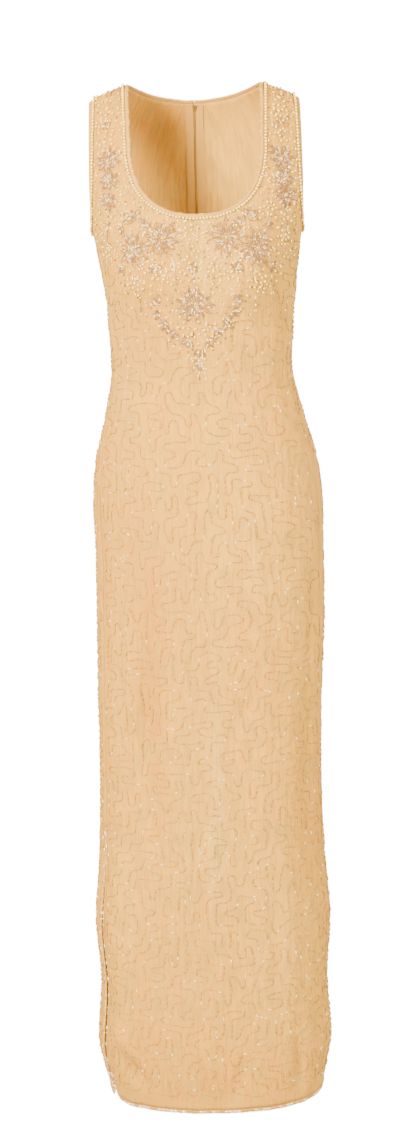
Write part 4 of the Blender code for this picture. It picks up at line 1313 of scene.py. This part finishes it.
def walks_round(cells, joined):
    """The closed walks that keep round the outside of the trees, on a grid twice as fine."""
    links = {}

    def join(a, b):
        links.setdefault(a, set()).add(b)
        links.setdefault(b, set()).add(a)

    def part(a, b):
        links[a].discard(b)
        links[b].discard(a)

    for x, y in (2 * np.argwhere(cells)).tolist():
        corners = ((x, y), (x + 1, y), (x + 1, y + 1), (x, y + 1))
        for a, b in zip(corners, corners[1:] + corners[:1]):
            join(a, b)
    for cell, other in joined:
        (ax, ay), (bx, by) = sorted((cell, other))
        if ay == by:
            near = (2 * ax + 1, 2 * ay), (2 * ax + 1, 2 * ay + 1)
            far = (2 * bx, 2 * by), (2 * bx, 2 * by + 1)
        else:
            near = (2 * ax, 2 * ay + 1), (2 * ax + 1, 2 * ay + 1)
            far = (2 * bx, 2 * by), (2 * bx + 1, 2 * by)
        part(*near)
        part(*far)
        join(near[0], far[0])
        join(near[1], far[1])
    walks, left = [], set(links)
    while left:
        start = min(left)
        walk, last, here = [start], None, start
        while True:
            ahead = min(place for place in links[here] if place != last)
            last, here = here, ahead
            if here == start:
                break
            walk.append(here)
        left -= set(walk)
        walks.append(np.array(walk, float))
    return walks


def rounded(loop):
    """A closed loop with its corners cut, a quarter of the way along."""
    ahead = np.roll(loop, -1, axis=0)
    return np.stack([0.75 * loop + 0.25 * ahead, 0.25 * loop + 0.75 * ahead], axis=1).reshape(-1, 2)


def evenly(loop, step):
    """A closed loop as evenly spaced points."""
    closed = with_first(loop)
    run = run_along(closed)
    count = int(run[-1] / step)
    return read_line(np.arange(count) * run[-1] / count, run, closed)


def pushes(points, reach, skip):
    """How other strands of a closed line that pass nearer than reach push each of its points away.

    Points lie in square bins of that size, so that only the nine bins round a point are looked at.
    """
    place = np.floor((points - points.min(axis=0)) / reach).astype(int) + 1
    tall = place[:, 1].max() + 2
    key = place[:, 0] * tall + place[:, 1]
    order = np.argsort(key, kind="stable")
    keys, count = key[order], len(points)
    here, total = np.arange(count), np.zeros_like(points)
    for shift in (-tall - 1, -tall, -tall + 1, -1, 0, 1, tall - 1, tall, tall + 1):
        first = np.searchsorted(keys, key + shift)
        for k in range(9):
            at = np.minimum(first + k, count - 1)
            other = order[at]
            away = points - points[other]
            far = np.hypot(*away.T)
            steps = np.abs(other - here)
            steps = np.minimum(steps, count - steps)
            use = (keys[at] == key + shift) & (first + k < count) & (steps > skip) & (far < reach)
            total += away * np.where(use, (reach - far) / np.maximum(far, 1e-6), 0.0)[:, None]
    return total


def meander(limits, top, bottom, free):
    """Closed winding lines on the chart that fill a panel and never cross themselves.

    limits gives the panel's two sides on the chart, at lengths down it, and free says which places
    are to be filled.
    """
    downs = np.linspace(top, bottom, 200)
    first, last = limits(downs)
    sway = SEAM_CLEAR * (1.0 + SWAY * np.sin(SWAY_WAVES[0] * downs) + SWAY * np.sin(SWAY_WAVES[1] * downs))
    first, last = first + sway, last - np.roll(sway, SWAY_SHIFT)
    cell = 2 * STRAND_GAP
    wide, tall = int((last.max() - first.min()) / cell), int((bottom - top) / cell)
    start = np.array([(last.max() + first.min() - wide * cell) / 2, top])
    middles = start + (np.argwhere(np.ones((wide, tall))) + 0.5) * cell
    near, far = (np.interp(middles[:, 1], downs, side) for side in (first, last))
    inside = (middles[:, 0] > near + 0.3 * cell) & (middles[:, 0] < far - 0.3 * cell)
    cells = (inside & free(middles[:, 0], middles[:, 1])).reshape(wide, tall)
    loops = []
    for walk in walks_round(cells, random_trees(cells)):
        if len(walk) < SMALLEST_LOOP:
            continue
        turn, reach = RANDOM.uniform(0.0, math.tau, len(walk)), RANDOM.uniform(0.4, 1.0, len(walk))
        walk = walk + (STRAND_JITTER * reach * (np.cos(turn), np.sin(turn))).T
        loop = evenly(start + (rounded(walk) + 0.5) * STRAND_GAP, STRAND_STEP)
        for _ in range(RELAX_ROUNDS):
            bend = (np.roll(loop, -1, axis=0) + np.roll(loop, 1, axis=0)) / 2 - loop
            push = pushes(loop, STRAND_REACH, int(1.6 * STRAND_REACH / STRAND_STEP))
            loop = loop + RELAX_PUSH * push + RELAX_BEND * bend
            near, far = (np.interp(loop[:, 1], downs, side) for side in (first, last))
            loop = np.column_stack([np.clip(loop[:, 0], near, far), np.clip(loop[:, 1], top, bottom)])
        loops.append(loop)
    return loops


def sewn_bugles(name, loops):
    """Bugles end to end along lines on the chart, with a little thread between them."""
    starts, ends = [], []
    for loop in loops:
        closed = with_first(loop)
        run = run_along(on_cloth(*closed.T)[0])
        at = np.arange(BUGLE_PITCH / 2, run[-1] - BUGLE_PITCH / 2, BUGLE_PITCH)
        at = at + RANDOM.uniform(-BUGLE_SHIFT, BUGLE_SHIFT, len(at))
        starts.append(read_line(at - BUGLE_HALF, run, closed))
        ends.append(read_line(at + BUGLE_HALF, run, closed))
    start, start_normals = on_cloth(*np.concatenate(starts).T)
    end, end_normals = on_cloth(*np.concatenate(ends).T)
    outward = unit(start_normals + end_normals)
    count = len(start)
    along = unit(end - start) + RANDOM.normal(0.0, BUGLE_TILT, (count, 1)) * outward
    tone = tones(count, GLINT_SHARE)
    # Painted glints: the near-white bugles are shortened, like a highlight.
    halves = np.where(tone > BRIGHTEST_WITHOUT_GLINT, GLINT_LENGTH, 1.0) * BUGLE_HALF
    sizes = np.column_stack([np.full(count, BUGLE_RADIUS), halves])
    centres = (start + end) / 2 + outward * (SINK_IN * BUGLE_RADIUS)
    return beads(name, BUGLE, centres, along, outward, sizes, tone, BUGLE_GLASS, foot=BEAD_FOOT_SHADE)


# ================================================================ embroidery of the yoke

# Where the flowers and pearls are, going round from the right shoulder; meander fills the rest.
YOKE = (
    (-0.18, -0.01), (-0.175, 0.235), (-0.172, 0.283), (-0.138, 0.296), (-0.116, 0.33), (-0.085, 0.343),
    (-0.08, 0.368), (-0.064, 0.366), (-0.054, 0.388), (-0.04, 0.408), (-0.018, 0.43), (-0.006, 0.462),
    (0.006, 0.432), (0.03, 0.408), (0.044, 0.388), (0.052, 0.364), (0.074, 0.366), (0.086, 0.346),
    (0.112, 0.334), (0.13, 0.3), (0.168, 0.283), (0.175, 0.235), (0.18, -0.01),
)
# Flowers and fans: across, down, radius, number of petals or leaves, and turn.
FLOWERS = (
    (-0.1255, 0.141, 0.02, 11, 0.1), (0.122, 0.143, 0.0215, 12, 0.25), (-0.1245, 0.172, 0.017, 9, 0.4),
    (0.126, 0.175, 0.017, 9, 0.55), (-0.128, 0.202, 0.0165, 9, 0.2), (0.129, 0.199, 0.0185, 10, 0.0),
    (-0.049, 0.259, 0.027, 12, 0.2), (0.039, 0.259, 0.028, 13, 0.05), (-0.0935, 0.274, 0.025, 12, 0.0),
    (0.082, 0.274, 0.0265, 13, 0.15), (-0.008, 0.349, 0.026, 13, 0.16),
)
LEAF_FANS = (
    (-0.088, 0.233, 0.017, 4, -0.6), (-0.076, 0.242, 0.013, 3, 0.5), (0.069, 0.233, 0.017, 4, 0.6),
    (0.06, 0.243, 0.013, 3, -0.4), (-0.106, 0.246, 0.012, 3, -1.3), (0.096, 0.244, 0.012, 3, 1.3),
    (-0.113, 0.296, 0.013, 3, -2.2), (0.104, 0.296, 0.013, 3, 2.2), (-0.066, 0.294, 0.015, 3, 2.6),
    (0.056, 0.294, 0.015, 3, -2.6), (-0.058, 0.348, 0.012, 3, -0.7), (0.047, 0.346, 0.012, 3, 0.7),
    (-0.057, 0.362, 0.011, 3, -1.6), (0.044, 0.36, 0.011, 3, 1.6), (-0.047, 0.376, 0.013, 4, -2.0),
    (0.033, 0.374, 0.013, 4, 2.0), (-0.035, 0.386, 0.012, 3, -2.6), (0.021, 0.384, 0.012, 3, 2.6),
    (-0.017, 0.398, 0.0125, 4, -2.4), (0.011, 0.399, 0.0125, 4, 2.4), (-0.004, 0.412, 0.012, 3, 3.14),
    (-0.004, 0.434, 0.009, 3, 3.14), (-0.008, 0.306, 0.011, 3, 0.0), (-0.13, 0.09, 0.011, 3, 0.1),
    (0.124, 0.09, 0.011, 3, -0.1),
)
# Sprays: across, down, spread and number of pearls.
SPRAYS = (
    (-0.131, 0.05, 0.011, 5), (-0.131, 0.078, 0.0125, 9), (-0.127, 0.112, 0.012, 7),
    (0.124, 0.048, 0.0115, 5), (0.124, 0.074, 0.013, 10), (0.123, 0.106, 0.012, 7),
    (0.106, 0.175, 0.009, 6), (-0.104, 0.189, 0.009, 6), (0.098, 0.221, 0.012, 9),
    (-0.11, 0.229, 0.011, 8), (0.13, 0.225, 0.011, 7), (-0.14, 0.24, 0.011, 7), (0.083, 0.32, 0.015, 15),
    (-0.092, 0.321, 0.015, 15), (0.131, 0.262, 0.012, 9), (-0.143, 0.272, 0.012, 9),
    (-0.008, 0.256, 0.015, 9), (-0.008, 0.292, 0.016, 10), (-0.038, 0.308, 0.015, 10),
    (0.023, 0.308, 0.015, 10), (-0.07, 0.293, 0.012, 8), (0.059, 0.293, 0.012, 8),
    (-0.069, 0.247, 0.01, 6), (0.06, 0.248, 0.01, 6), (-0.016, 0.39, 0.012, 9), (0.011, 0.388, 0.012, 9),
    (-0.02, 0.245, 0.012, 8), (0.008, 0.245, 0.012, 8), (-0.057, 0.308, 0.011, 8),
    (0.044, 0.308, 0.011, 8),
)
# Chains of bugles: the first and last places.
CHAINS = (
    (-0.129, 0.215, -0.143, 0.272), (0.132, 0.21, 0.14, 0.264), (-0.008, 0.288, -0.008, 0.324),
    (-0.011, 0.296, -0.01, 0.318), (-0.036, 0.288, -0.033, 0.312), (0.022, 0.286, 0.019, 0.312),
    (-0.086, 0.338, -0.085, 0.364), (0.077, 0.34, 0.077, 0.362), (-0.004, 0.426, -0.004, 0.456),
    (-0.009, 0.414, -0.007, 0.442), (0.001, 0.414, 0.0, 0.442),
)

# Petals and leaves, as shares of the radius of their flower or fan
PETAL_FROM = 0.22
PETAL_WIDE = 1.5
INNER_PETAL = (0.10, 0.55)
INNER_WIDE = 0.9
TIP_SEED = 1.08
LEAF_WIDE = 0.19
LEAF_TURN = 0.75
KNOT_SEEDS = 7
KNOT_REACH = (0.0022, 0.0048)

# Shares of beads with a painted glint
FAN_BRIGHT = 0.6
OUTLINE_BRIGHT = 0.10
VEIN_BRIGHT = 0.24
KNOT_BRIGHT = 0.55
CHAIN_BRIGHT = 0.35
YOKE_BRIGHT = 0.3
FILL_BRIGHT = 0.15

# How far beads keep from the shoulder, from the pearl rows and from one another
SHOULDER_CLEAR = 0.012
ROW_CLEAR = 0.0032
FILL_PEARL_GAP = 0.0095
FILL_BEAD_GAP = 0.0062
PEARL_TRIES = 5000
BEAD_TRIES = 9000
# Single pearls keep this share of a flower's radius from its middle.
FLOWER_CLEAR = 0.85
BESIDE_PEARL = 0.003

# Beads of the yoke: their darkest tone, how much darker their foot is painted (painted shade), and how high
# their middle is
YOKE_SEED_HALF = 0.0009
PEARL_BASE = 0.8
PEARL_FOOT_SHADE = 0.7
BEAD_FOOT_SHADE = 0.1
SINK_IN = 0.8
WAY_STEP = 0.01

# Sprays on the back of each strap: down, spread and number of pearls, and how far out they are.
STRAP_SPRAYS = ((0.018, 0.010, 5), (0.040, 0.012, 7), (0.064, 0.012, 8))
STRAP_MIDDLE = 0.121
STITCH_HALF = 0.0019
STITCH_PITCH = 2.15 * STITCH_HALF
STITCH_RADIUS = 0.00084
YOKE_PEARL = 0.00165


class Sewing:
    """Places on the chart where beads of each kind are sewn, with the way their thread runs."""

    def __init__(self):
        self.places = {"bugle": [], "seed": [], "pearl": []}

    def add(self, kind, across, down, way=(0.0, 1.0), bright=0.0):
        self.places[kind].append((across, down, way[0], way[1], bright))

    def line(self, points, bright):
        """Short bugles end to end along a line."""
        points = np.asarray(points, float)
        run = run_along(points)
        count = max(1, int(round(run[-1] / STITCH_PITCH)))
        for at in (np.arange(count) + 0.5) * run[-1] / count:
            a, b = (read_line(at + step, run, points) for step in (-STITCH_HALF, STITCH_HALF))
            self.add("bugle", *((a + b) / 2), b - a, bright)


def heading(turn):
    """A step of length 1 on the chart. Turn 0 is across the cloth and a quarter turn is down it."""
    return np.array([math.cos(turn), math.sin(turn)])


def pointing(turn):
    """A step of length 1 on the chart. Turn 0 is up the cloth and a quarter turn is across it."""
    return np.array([math.sin(turn), -math.cos(turn)])


def petal(sewing, centre, turn, inner, outer, half_width, vein):
    """A pointed leaf outlined in bugles, with one or two bright ones along its middle."""
    out, aside = pointing(turn), heading(turn)
    share = np.linspace(0.0, 1.0, 9)
    for side in (-1, 1):
        bulge = side * half_width * np.sin(math.pi * share) ** 0.6
        points = centre + np.outer(inner + (outer - inner) * share, out) + np.outer(bulge, aside)
        sewing.line(points, OUTLINE_BRIGHT)
    if vein:
        middle = centre + np.outer(inner + (outer - inner) * np.array([0.2, 0.8]), out)
        sewing.line(middle, VEIN_BRIGHT)


def flower(sewing, across, down, radius, petals, turn):
    """Two rings of pointed petals, the inner one short, round a knot of seed beads."""
    centre = np.array([across, down])
    for k in range(int(petals)):
        reach = radius * RANDOM.uniform(0.80, 1.10)
        way = turn + math.tau * (k + RANDOM.uniform(-0.15, 0.15)) / petals
        petal(sewing, centre, way, PETAL_FROM * radius, reach, PETAL_WIDE * radius / petals, True)
        sewing.add("seed", *(centre + TIP_SEED * reach * pointing(way)), bright=YOKE_BRIGHT)
    inner = int(petals) // 2
    for k in range(inner):
        way = turn + 0.5 + math.tau * k / inner
        low, high = (share * radius for share in INNER_PETAL)
        petal(sewing, centre, way, low, high, INNER_WIDE * radius / petals, False)
    for k in range(KNOT_SEEDS):
        way = math.tau * k / KNOT_SEEDS
        spot = centre + RANDOM.uniform(*KNOT_REACH) * heading(way)
        sewing.add("seed", *spot, way=(-math.sin(way), math.cos(way)), bright=KNOT_BRIGHT)
    sewing.add("pearl", *centre)


def leaf_fan(sewing, across, down, radius, leaves, turn):
    centre = np.array([across, down])
    for k in range(int(leaves)):
        way = turn + LEAF_TURN * (k - (leaves - 1) / 2)
        petal(sewing, centre, way, 0.0, radius * RANDOM.uniform(0.9, 1.1), LEAF_WIDE * radius, True)
    sewing.add("seed", across, down, bright=FAN_BRIGHT)


def spray(sewing, across, down, spread, pearls):
    """Pearls scattered evenly in a round patch, with a short bugle beside every third."""
    first = RANDOM.uniform(0.0, math.tau)
    for k in range(int(pearls)):
        reach = spread * math.sqrt((k + 0.5) / pearls) * RANDOM.uniform(0.9, 1.12)
        way = first + k * math.pi * (3 - math.sqrt(5))
        spot = np.array([across, down]) + reach * heading(way)
        sewing.add("pearl", *spot, bright=YOKE_BRIGHT)
        if k % 3 == 0:
            beside = heading(way + 0.9)
            sewing.add("bugle", *(spot + BESIDE_PEARL * beside), way=beside, bright=YOKE_BRIGHT)


def clear_of_edges(across, down):
    """Which places on the front lie clear of the bound edges, by the width of a pearl row."""
    angle, row = form_from_chart(across, down)
    points = cloth(angle, row)
    clear = np.abs(angle) < math.pi / 2
    edges = (neck_path(), PEARL_IN), (armhole_path(1), ARM_PEARL_IN), (armhole_path(-1), ARM_PEARL_IN)
    for path, inwards in edges:
        edge = edge_frame(path)[0]
        for part in np.array_split(np.arange(len(points)), len(points) // 400 + 1):
            gaps = np.linalg.norm(points[part][:, None] - edge[None], axis=2).min(axis=1)
            clear[part] &= gaps > inwards + ROW_CLEAR
    half = section("half_width", row)
    out = np.abs(points[:, 0] - section("shift", row))
    above = row < front_neck(1)[-1, 1]
    neck = np.interp(row, *front_neck(1)[:, ::-1].T)
    clear &= ~(above & (np.abs(angle) < neck)) & (down > SHOULDER_CLEAR)
    arm = armhole(1)
    under = arm[len(arm) // 2, 1]
    edge = np.interp(row, arm[: len(arm) // 2, 1], arm[: len(arm) // 2, 0])
    return clear & ~((row < under) & (np.abs(angle) > edge)) & (out < half)


def scattered(outline, gap, tries):
    """Random places on the chart inside an outline, no two nearer than gap."""
    outline = np.array(outline)
    spots = RANDOM.uniform(outline.min(axis=0), outline.max(axis=0), (tries, 2))
    spots = spots[within(spots, outline)]
    spots = spots[clear_of_edges(spots[:, 0], spots[:, 1])]
    kept = np.full((len(spots), 2), np.inf)
    count = 0
    for spot in spots:
        if np.hypot(*(kept[: max(count, 1)] - spot).T).min() > gap:
            kept[count] = spot
            count += 1
    return kept[:count]


def fill_yoke(sewing):
    """Single pearls, seeds and short bugles sewn over all of the yoke between its flowers."""
    flowers = np.array(FLOWERS)
    for spot in scattered(YOKE, FILL_PEARL_GAP, PEARL_TRIES):
        away = np.hypot(flowers[:, 0] - spot[0], flowers[:, 1] - spot[1]) / flowers[:, 2]
        if away.min() > FLOWER_CLEAR:
            sewing.add("pearl", *spot, bright=YOKE_BRIGHT)
    for spot in scattered(YOKE, FILL_BEAD_GAP, BEAD_TRIES):
        way = RANDOM.uniform(0.0, math.tau)
        kind = "bugle" if RANDOM.uniform() < 0.5 else "seed"
        sewing.add(kind, *spot, way=heading(way), bright=FILL_BRIGHT)


def sew(sewing):
    """The beads of the yoke, as one mesh of each kind."""
    kinds = (
        ("bugle", "yoke_bugles", BUGLE, STITCH_RADIUS, STITCH_HALF, FLOWER_GLASS),
        ("seed", "yoke_seeds", SEED, SEED_RADIUS, YOKE_SEED_HALF, SEED_GLASS),
        ("pearl", "yoke_pearls", ROUND_PEARL, YOKE_PEARL, YOKE_PEARL, PEARL),
    )
    for kind, name, shape, radius, half, finish in kinds:
        rows = np.array(sewing.places[kind])
        rows = rows[clear_of_edges(rows[:, 0], rows[:, 1])]
        places, step, count = rows[:, :2].T, rows[:, 2:4].T * WAY_STEP, len(rows)
        points, outward = on_cloth(*places)
        along = on_cloth(*(places + step))[0] - on_cloth(*(places - step))[0]
        # Painted glints: a share of the beads get a near-white tone.
        bright = RANDOM.uniform(0, 1, count) < rows[:, 4]
        tone = np.where(bright, RANDOM.uniform(0.8, 1.0, count), tones(count))
        sizes = same_size(count, radius, half) * RANDOM.uniform(0.9, 1.1, (count, 1))
        foot = BEAD_FOOT_SHADE
        if kind == "pearl":
            tone, foot = np.maximum(tone, PEARL_BASE), PEARL_FOOT_SHADE
        placed = points + outward * radius * SINK_IN
        beads(name, shape, placed, along, outward, sizes, tone, finish, foot=foot)


def embroider():
    sewing = Sewing()
    for motif, table in ((flower, FLOWERS), (leaf_fan, LEAF_FANS), (spray, SPRAYS)):
        for values in table:
            motif(sewing, *values)
    for values in CHAINS:
        a, b = np.array(values[:2]), np.array(values[2:])
        sewing.line([a, (a + b) / 2, b], CHAIN_BRIGHT)
    fill_yoke(sewing)
    sew(sewing)


def clear_of_yoke(across, down):
    return ~within(np.column_stack([across, down]), np.array(YOKE))


# ================================================================ where the meander runs

HEM_CLEAR = 0.012
SEAM_CLEAR = 0.004
FRONT_TOP = 0.262
BACK_TOP = 0.086


def front_limits(downs):
    rows = rows_at(downs)
    drops = section("drop", rows)
    right, _ = chart_from_form(-seam_angle(-1, drops), rows)
    left, _ = chart_from_form(seam_angle(1, drops), rows)
    return right, left


def back_limits(side):
    """The limits of one back half, from its outer edge or side seam to the centre back."""
    loop = armhole(side)
    under = loop[len(loop) // 2, 1]

    def limits(downs):
        rows = rows_at(downs)
        seam = seam_angle(side, section("drop", rows))
        arm = math.pi - angle_at(ARMHOLE_HALF_AT_SHOULDER - EDGE_TO_PANEL, rows)
        edge = np.where(rows < under, arm, seam)
        outer, _ = chart_from_form(side * edge, rows)
        middle = side * np.interp(rows, CHART_ROWS, HALF_GIRTH)
        return (outer, middle) if side > 0 else (middle, outer)

    return limits


def scatter_on_straps():
    """Pearls on the back of the straps, above the meander of the back."""
    sewing = Sewing()
    for side in (-1, 1):
        for down, spread, pearls in STRAP_SPRAYS:
            row = np.array([float(rows_at(down))])
            turn = side * (math.pi - angle_at(np.array([STRAP_MIDDLE]), row)[0])
            across, _ = chart_from_form(np.array([turn]), row)
            spray(sewing, float(across[0]), down, spread, pearls)
    rows = np.array(sewing.places["pearl"])
    points, outward = on_cloth(rows[:, 0], rows[:, 1])
    sizes = same_size(len(rows), YOKE_PEARL, YOKE_PEARL)
    lifted = points + outward * YOKE_PEARL * SINK_IN
    along = np.tile((0.0, 0.0, 1.0), (len(rows), 1))
    tone = np.full(len(rows), 0.85)
    beads("strap_back_pearls", ROUND_PEARL, lifted, along, outward, sizes, tone, PEARL, foot=PEARL_FOOT_SHADE)


# ================================================================ the zip

TOOTH_PITCH = 0.0014
TOOTH_RADIUS = 0.00045


def zip_teeth():
    """The closed coil: one small oval turn of nylon for each tooth, left and right in turn."""
    top = SLIDER_DOWN + SLIDER_LENGTH / 2 + SEAM_GAP
    lengths = np.arange(top + TOOTH_PITCH, TAPE_TOP + ZIP_LENGTH, TOOTH_PITCH)
    rows = rows_down_back(lengths)
    side = np.where(np.arange(len(rows)) % 2 == 0, 1.0, -1.0)
    angle = side * (math.pi - angle_at(np.full(len(rows), 0.25 * COIL_HALF), rows))
    outward = normal_of(cloth, angle, rows)
    centres = cloth(angle, rows) - outward * (WALL + SEAM_GAP + COIL_THICK / 2)
    across = np.column_stack([side, np.zeros(len(rows)), np.zeros(len(rows))])
    sizes, tone = same_size(len(rows), TOOTH_RADIUS, COIL_HALF * 0.75), tones(len(rows))
    made = beads("zip_teeth", BUGLE, centres, across, outward, sizes, tone, coil_material(), "zip_coil")
    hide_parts("zip_coil")
    turn = np.full(len(rows), math.pi)
    normals = normal_of(cloth, turn, rows)
    middle = cloth(turn, rows) - normals * (WALL + SEAM_GAP + COIL_THICK / 2)
    along = np.gradient(middle, axis=0)
    sizes, tone = same_size(len(rows), CORD_RADIUS, TOOTH_PITCH), np.zeros(len(rows))
    beads("zip_cord", BUGLE, middle, along, normals, sizes, tone, coil_material(), "zip_coil")


def finish_zip():
    """The CAD's own tapes, slider and pull keep their shapes and get their finish."""
    tape, metal = tape_material(), metal_material()
    finishes = {"zip_tape_left": tape, "zip_tape_right": tape, "zip_slider": metal, "zip_pull": metal}
    for name, finish in finishes.items():
        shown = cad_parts[name]
        shown.data.materials.clear()
        shown.data.materials.append(finish)


# ================================================================ the studio

FLOOR_HEIGHT = -1.53
BACKDROP_RADIUS = 26.0
STAGE_GLOW = 16.0
STAGE_GREY = 0.9
STAGE_SIDES = 64
WORLD_COLOUR = (1.0, 0.80, 0.36, 1.0)
WORLD_STRENGTH = 1.38
LIGHT_COLOUR = (1.0, 0.82, 0.38)
# Lights: name, place, the height of the point on the axis that it is turned to, size and power.
LIGHTS = (
    ("key", (-2.0, -2.8, 0.6), -0.70, 1.2, 600.0),
    ("fill", (2.9, -2.0, -0.2), -0.75, 1.8, 245.0),
    ("back", (0.6, 3.2, 0.6), -0.70, 2.0, 280.0),
)
CAMERA_PLACE = (-0.0056, -2.9, -0.27)
CAMERA_LENS = 64.1
CAMERA_PITCH = 8.16
CAMERA_ROLL = -1.2


def stage_material(name):
    made, tree, shader = new_material(name, Roughness=0.8, Emission_Strength=STAGE_GLOW)
    soft = noise(tree, object_place(tree), grey(0.6), 1.0)
    base = ramp(tree, soft, (0.3, grey(0.98 * STAGE_GREY)), (0.7, grey(STAGE_GREY)))
    link(tree, shader, {"Base Color": base})
    shader.inputs["Emission Color"].default_value = (1.0, 1.0, 1.0, 1.0)
    return made


def make_stage():
    """A pale floor under the hanging gown, and a pale shell round everything that only the camera sees."""
    turns = np.linspace(-0.2, 1.5, 24)
    shell = [(BACKDROP_RADIUS * math.cos(t), BACKDROP_RADIUS * math.sin(t)) for t in turns]
    shell.append((0.0, BACKDROP_RADIUS))
    for name, profile in (("floor", [(BACKDROP_RADIUS, 0.0), (0.0, 0.0)]), ("backdrop", shell)):
        vertices, faces = turned(profile, STAGE_SIDES)
        mesh = bpy.data.meshes.new(name)
        mesh.from_pydata([tuple(v) for v in vertices + (0.0, 0.0, FLOOR_HEIGHT)], [], faces)
        mesh.shade_smooth()
        mesh.materials.append(stage_material(name))
        made = bpy.data.objects.new(name, mesh)
        bpy.context.scene.collection.objects.link(made)
        made.visible_diffuse = False
        made.visible_glossy = False
        made.visible_shadow = False


def make_light(name, place, target_height, size, power):
    light = bpy.data.lights.new(name, "AREA")
    light.shape = "DISK"
    light.size = size
    light.energy = power
    light.color = LIGHT_COLOUR
    made = bpy.data.objects.new(name, light)
    way = np.array((0.0, 0.0, target_height)) - np.array(place)
    turn = math.atan2(way[0], way[1])
    rise = math.atan2(way[2], math.hypot(way[0], way[1]))
    made.location = place
    made.rotation_euler = (math.pi / 2 + rise, 0.0, -turn)
    made.visible_camera = False
    bpy.context.scene.collection.objects.link(made)


def make_lights():
    """A large soft key from the front and the gown's right, a weaker fill, and light from all round."""
    world = bpy.data.worlds.new("studio")
    world.use_nodes = True
    background = world.node_tree.nodes["Background"]
    background.inputs["Color"].default_value = WORLD_COLOUR
    background.inputs["Strength"].default_value = WORLD_STRENGTH
    bpy.context.scene.world = world
    for values in LIGHTS:
        make_light(*values)


def make_camera():
    camera = bpy.data.cameras.new("camera")
    camera.lens = CAMERA_LENS
    made = bpy.data.objects.new("camera", camera)
    level = Matrix.Rotation(math.radians(90.0 - CAMERA_PITCH), 4, "X")
    roll = Matrix.Rotation(math.radians(CAMERA_ROLL), 4, "Z")
    made.matrix_world = Matrix.Translation(CAMERA_PLACE) @ level @ roll
    bpy.context.scene.collection.objects.link(made)
    bpy.context.scene.camera = made


# ================================================================ everything


def main():
    make_camera()
    front, front_edge, front_hem = make_front()
    edges = {"front": front_edge}
    hems = {"front_hem": front_hem}
    backs = {}
    for side, name in SIDES:
        backs[name], edges[name], hems["back_hem_" + name] = make_back(side, name)
    folded_edge("neck_edge", neck_path(), "neck_binding")
    bead_edge("neck", neck_path(), PEARL_IN)
    for side, name in SIDES:
        folded_edge("armhole_edge_" + name, armhole_path(side), "armhole_binding_" + name, True)
        bead_edge("armhole_" + name, armhole_path(side), ARM_PEARL_IN, True)
    for name, path in hems.items():
        bead_hem(name, path)
    close_seams(hems.values())
    hem_down = lengths_at(row_at_drop(HEM_DROP))
    sewn_bugles("front_bugles", meander(front_limits, FRONT_TOP, hem_down - HEM_CLEAR, clear_of_yoke))
    for side, name in SIDES:
        loops = meander(back_limits(side), BACK_TOP, hem_down - HEM_CLEAR, everywhere)
        sewn_bugles("back_bugles_" + name, loops)
    embroider()
    scatter_on_straps()
    zip_teeth()
    finish_zip()
    make_stage()
    make_lights()


main()
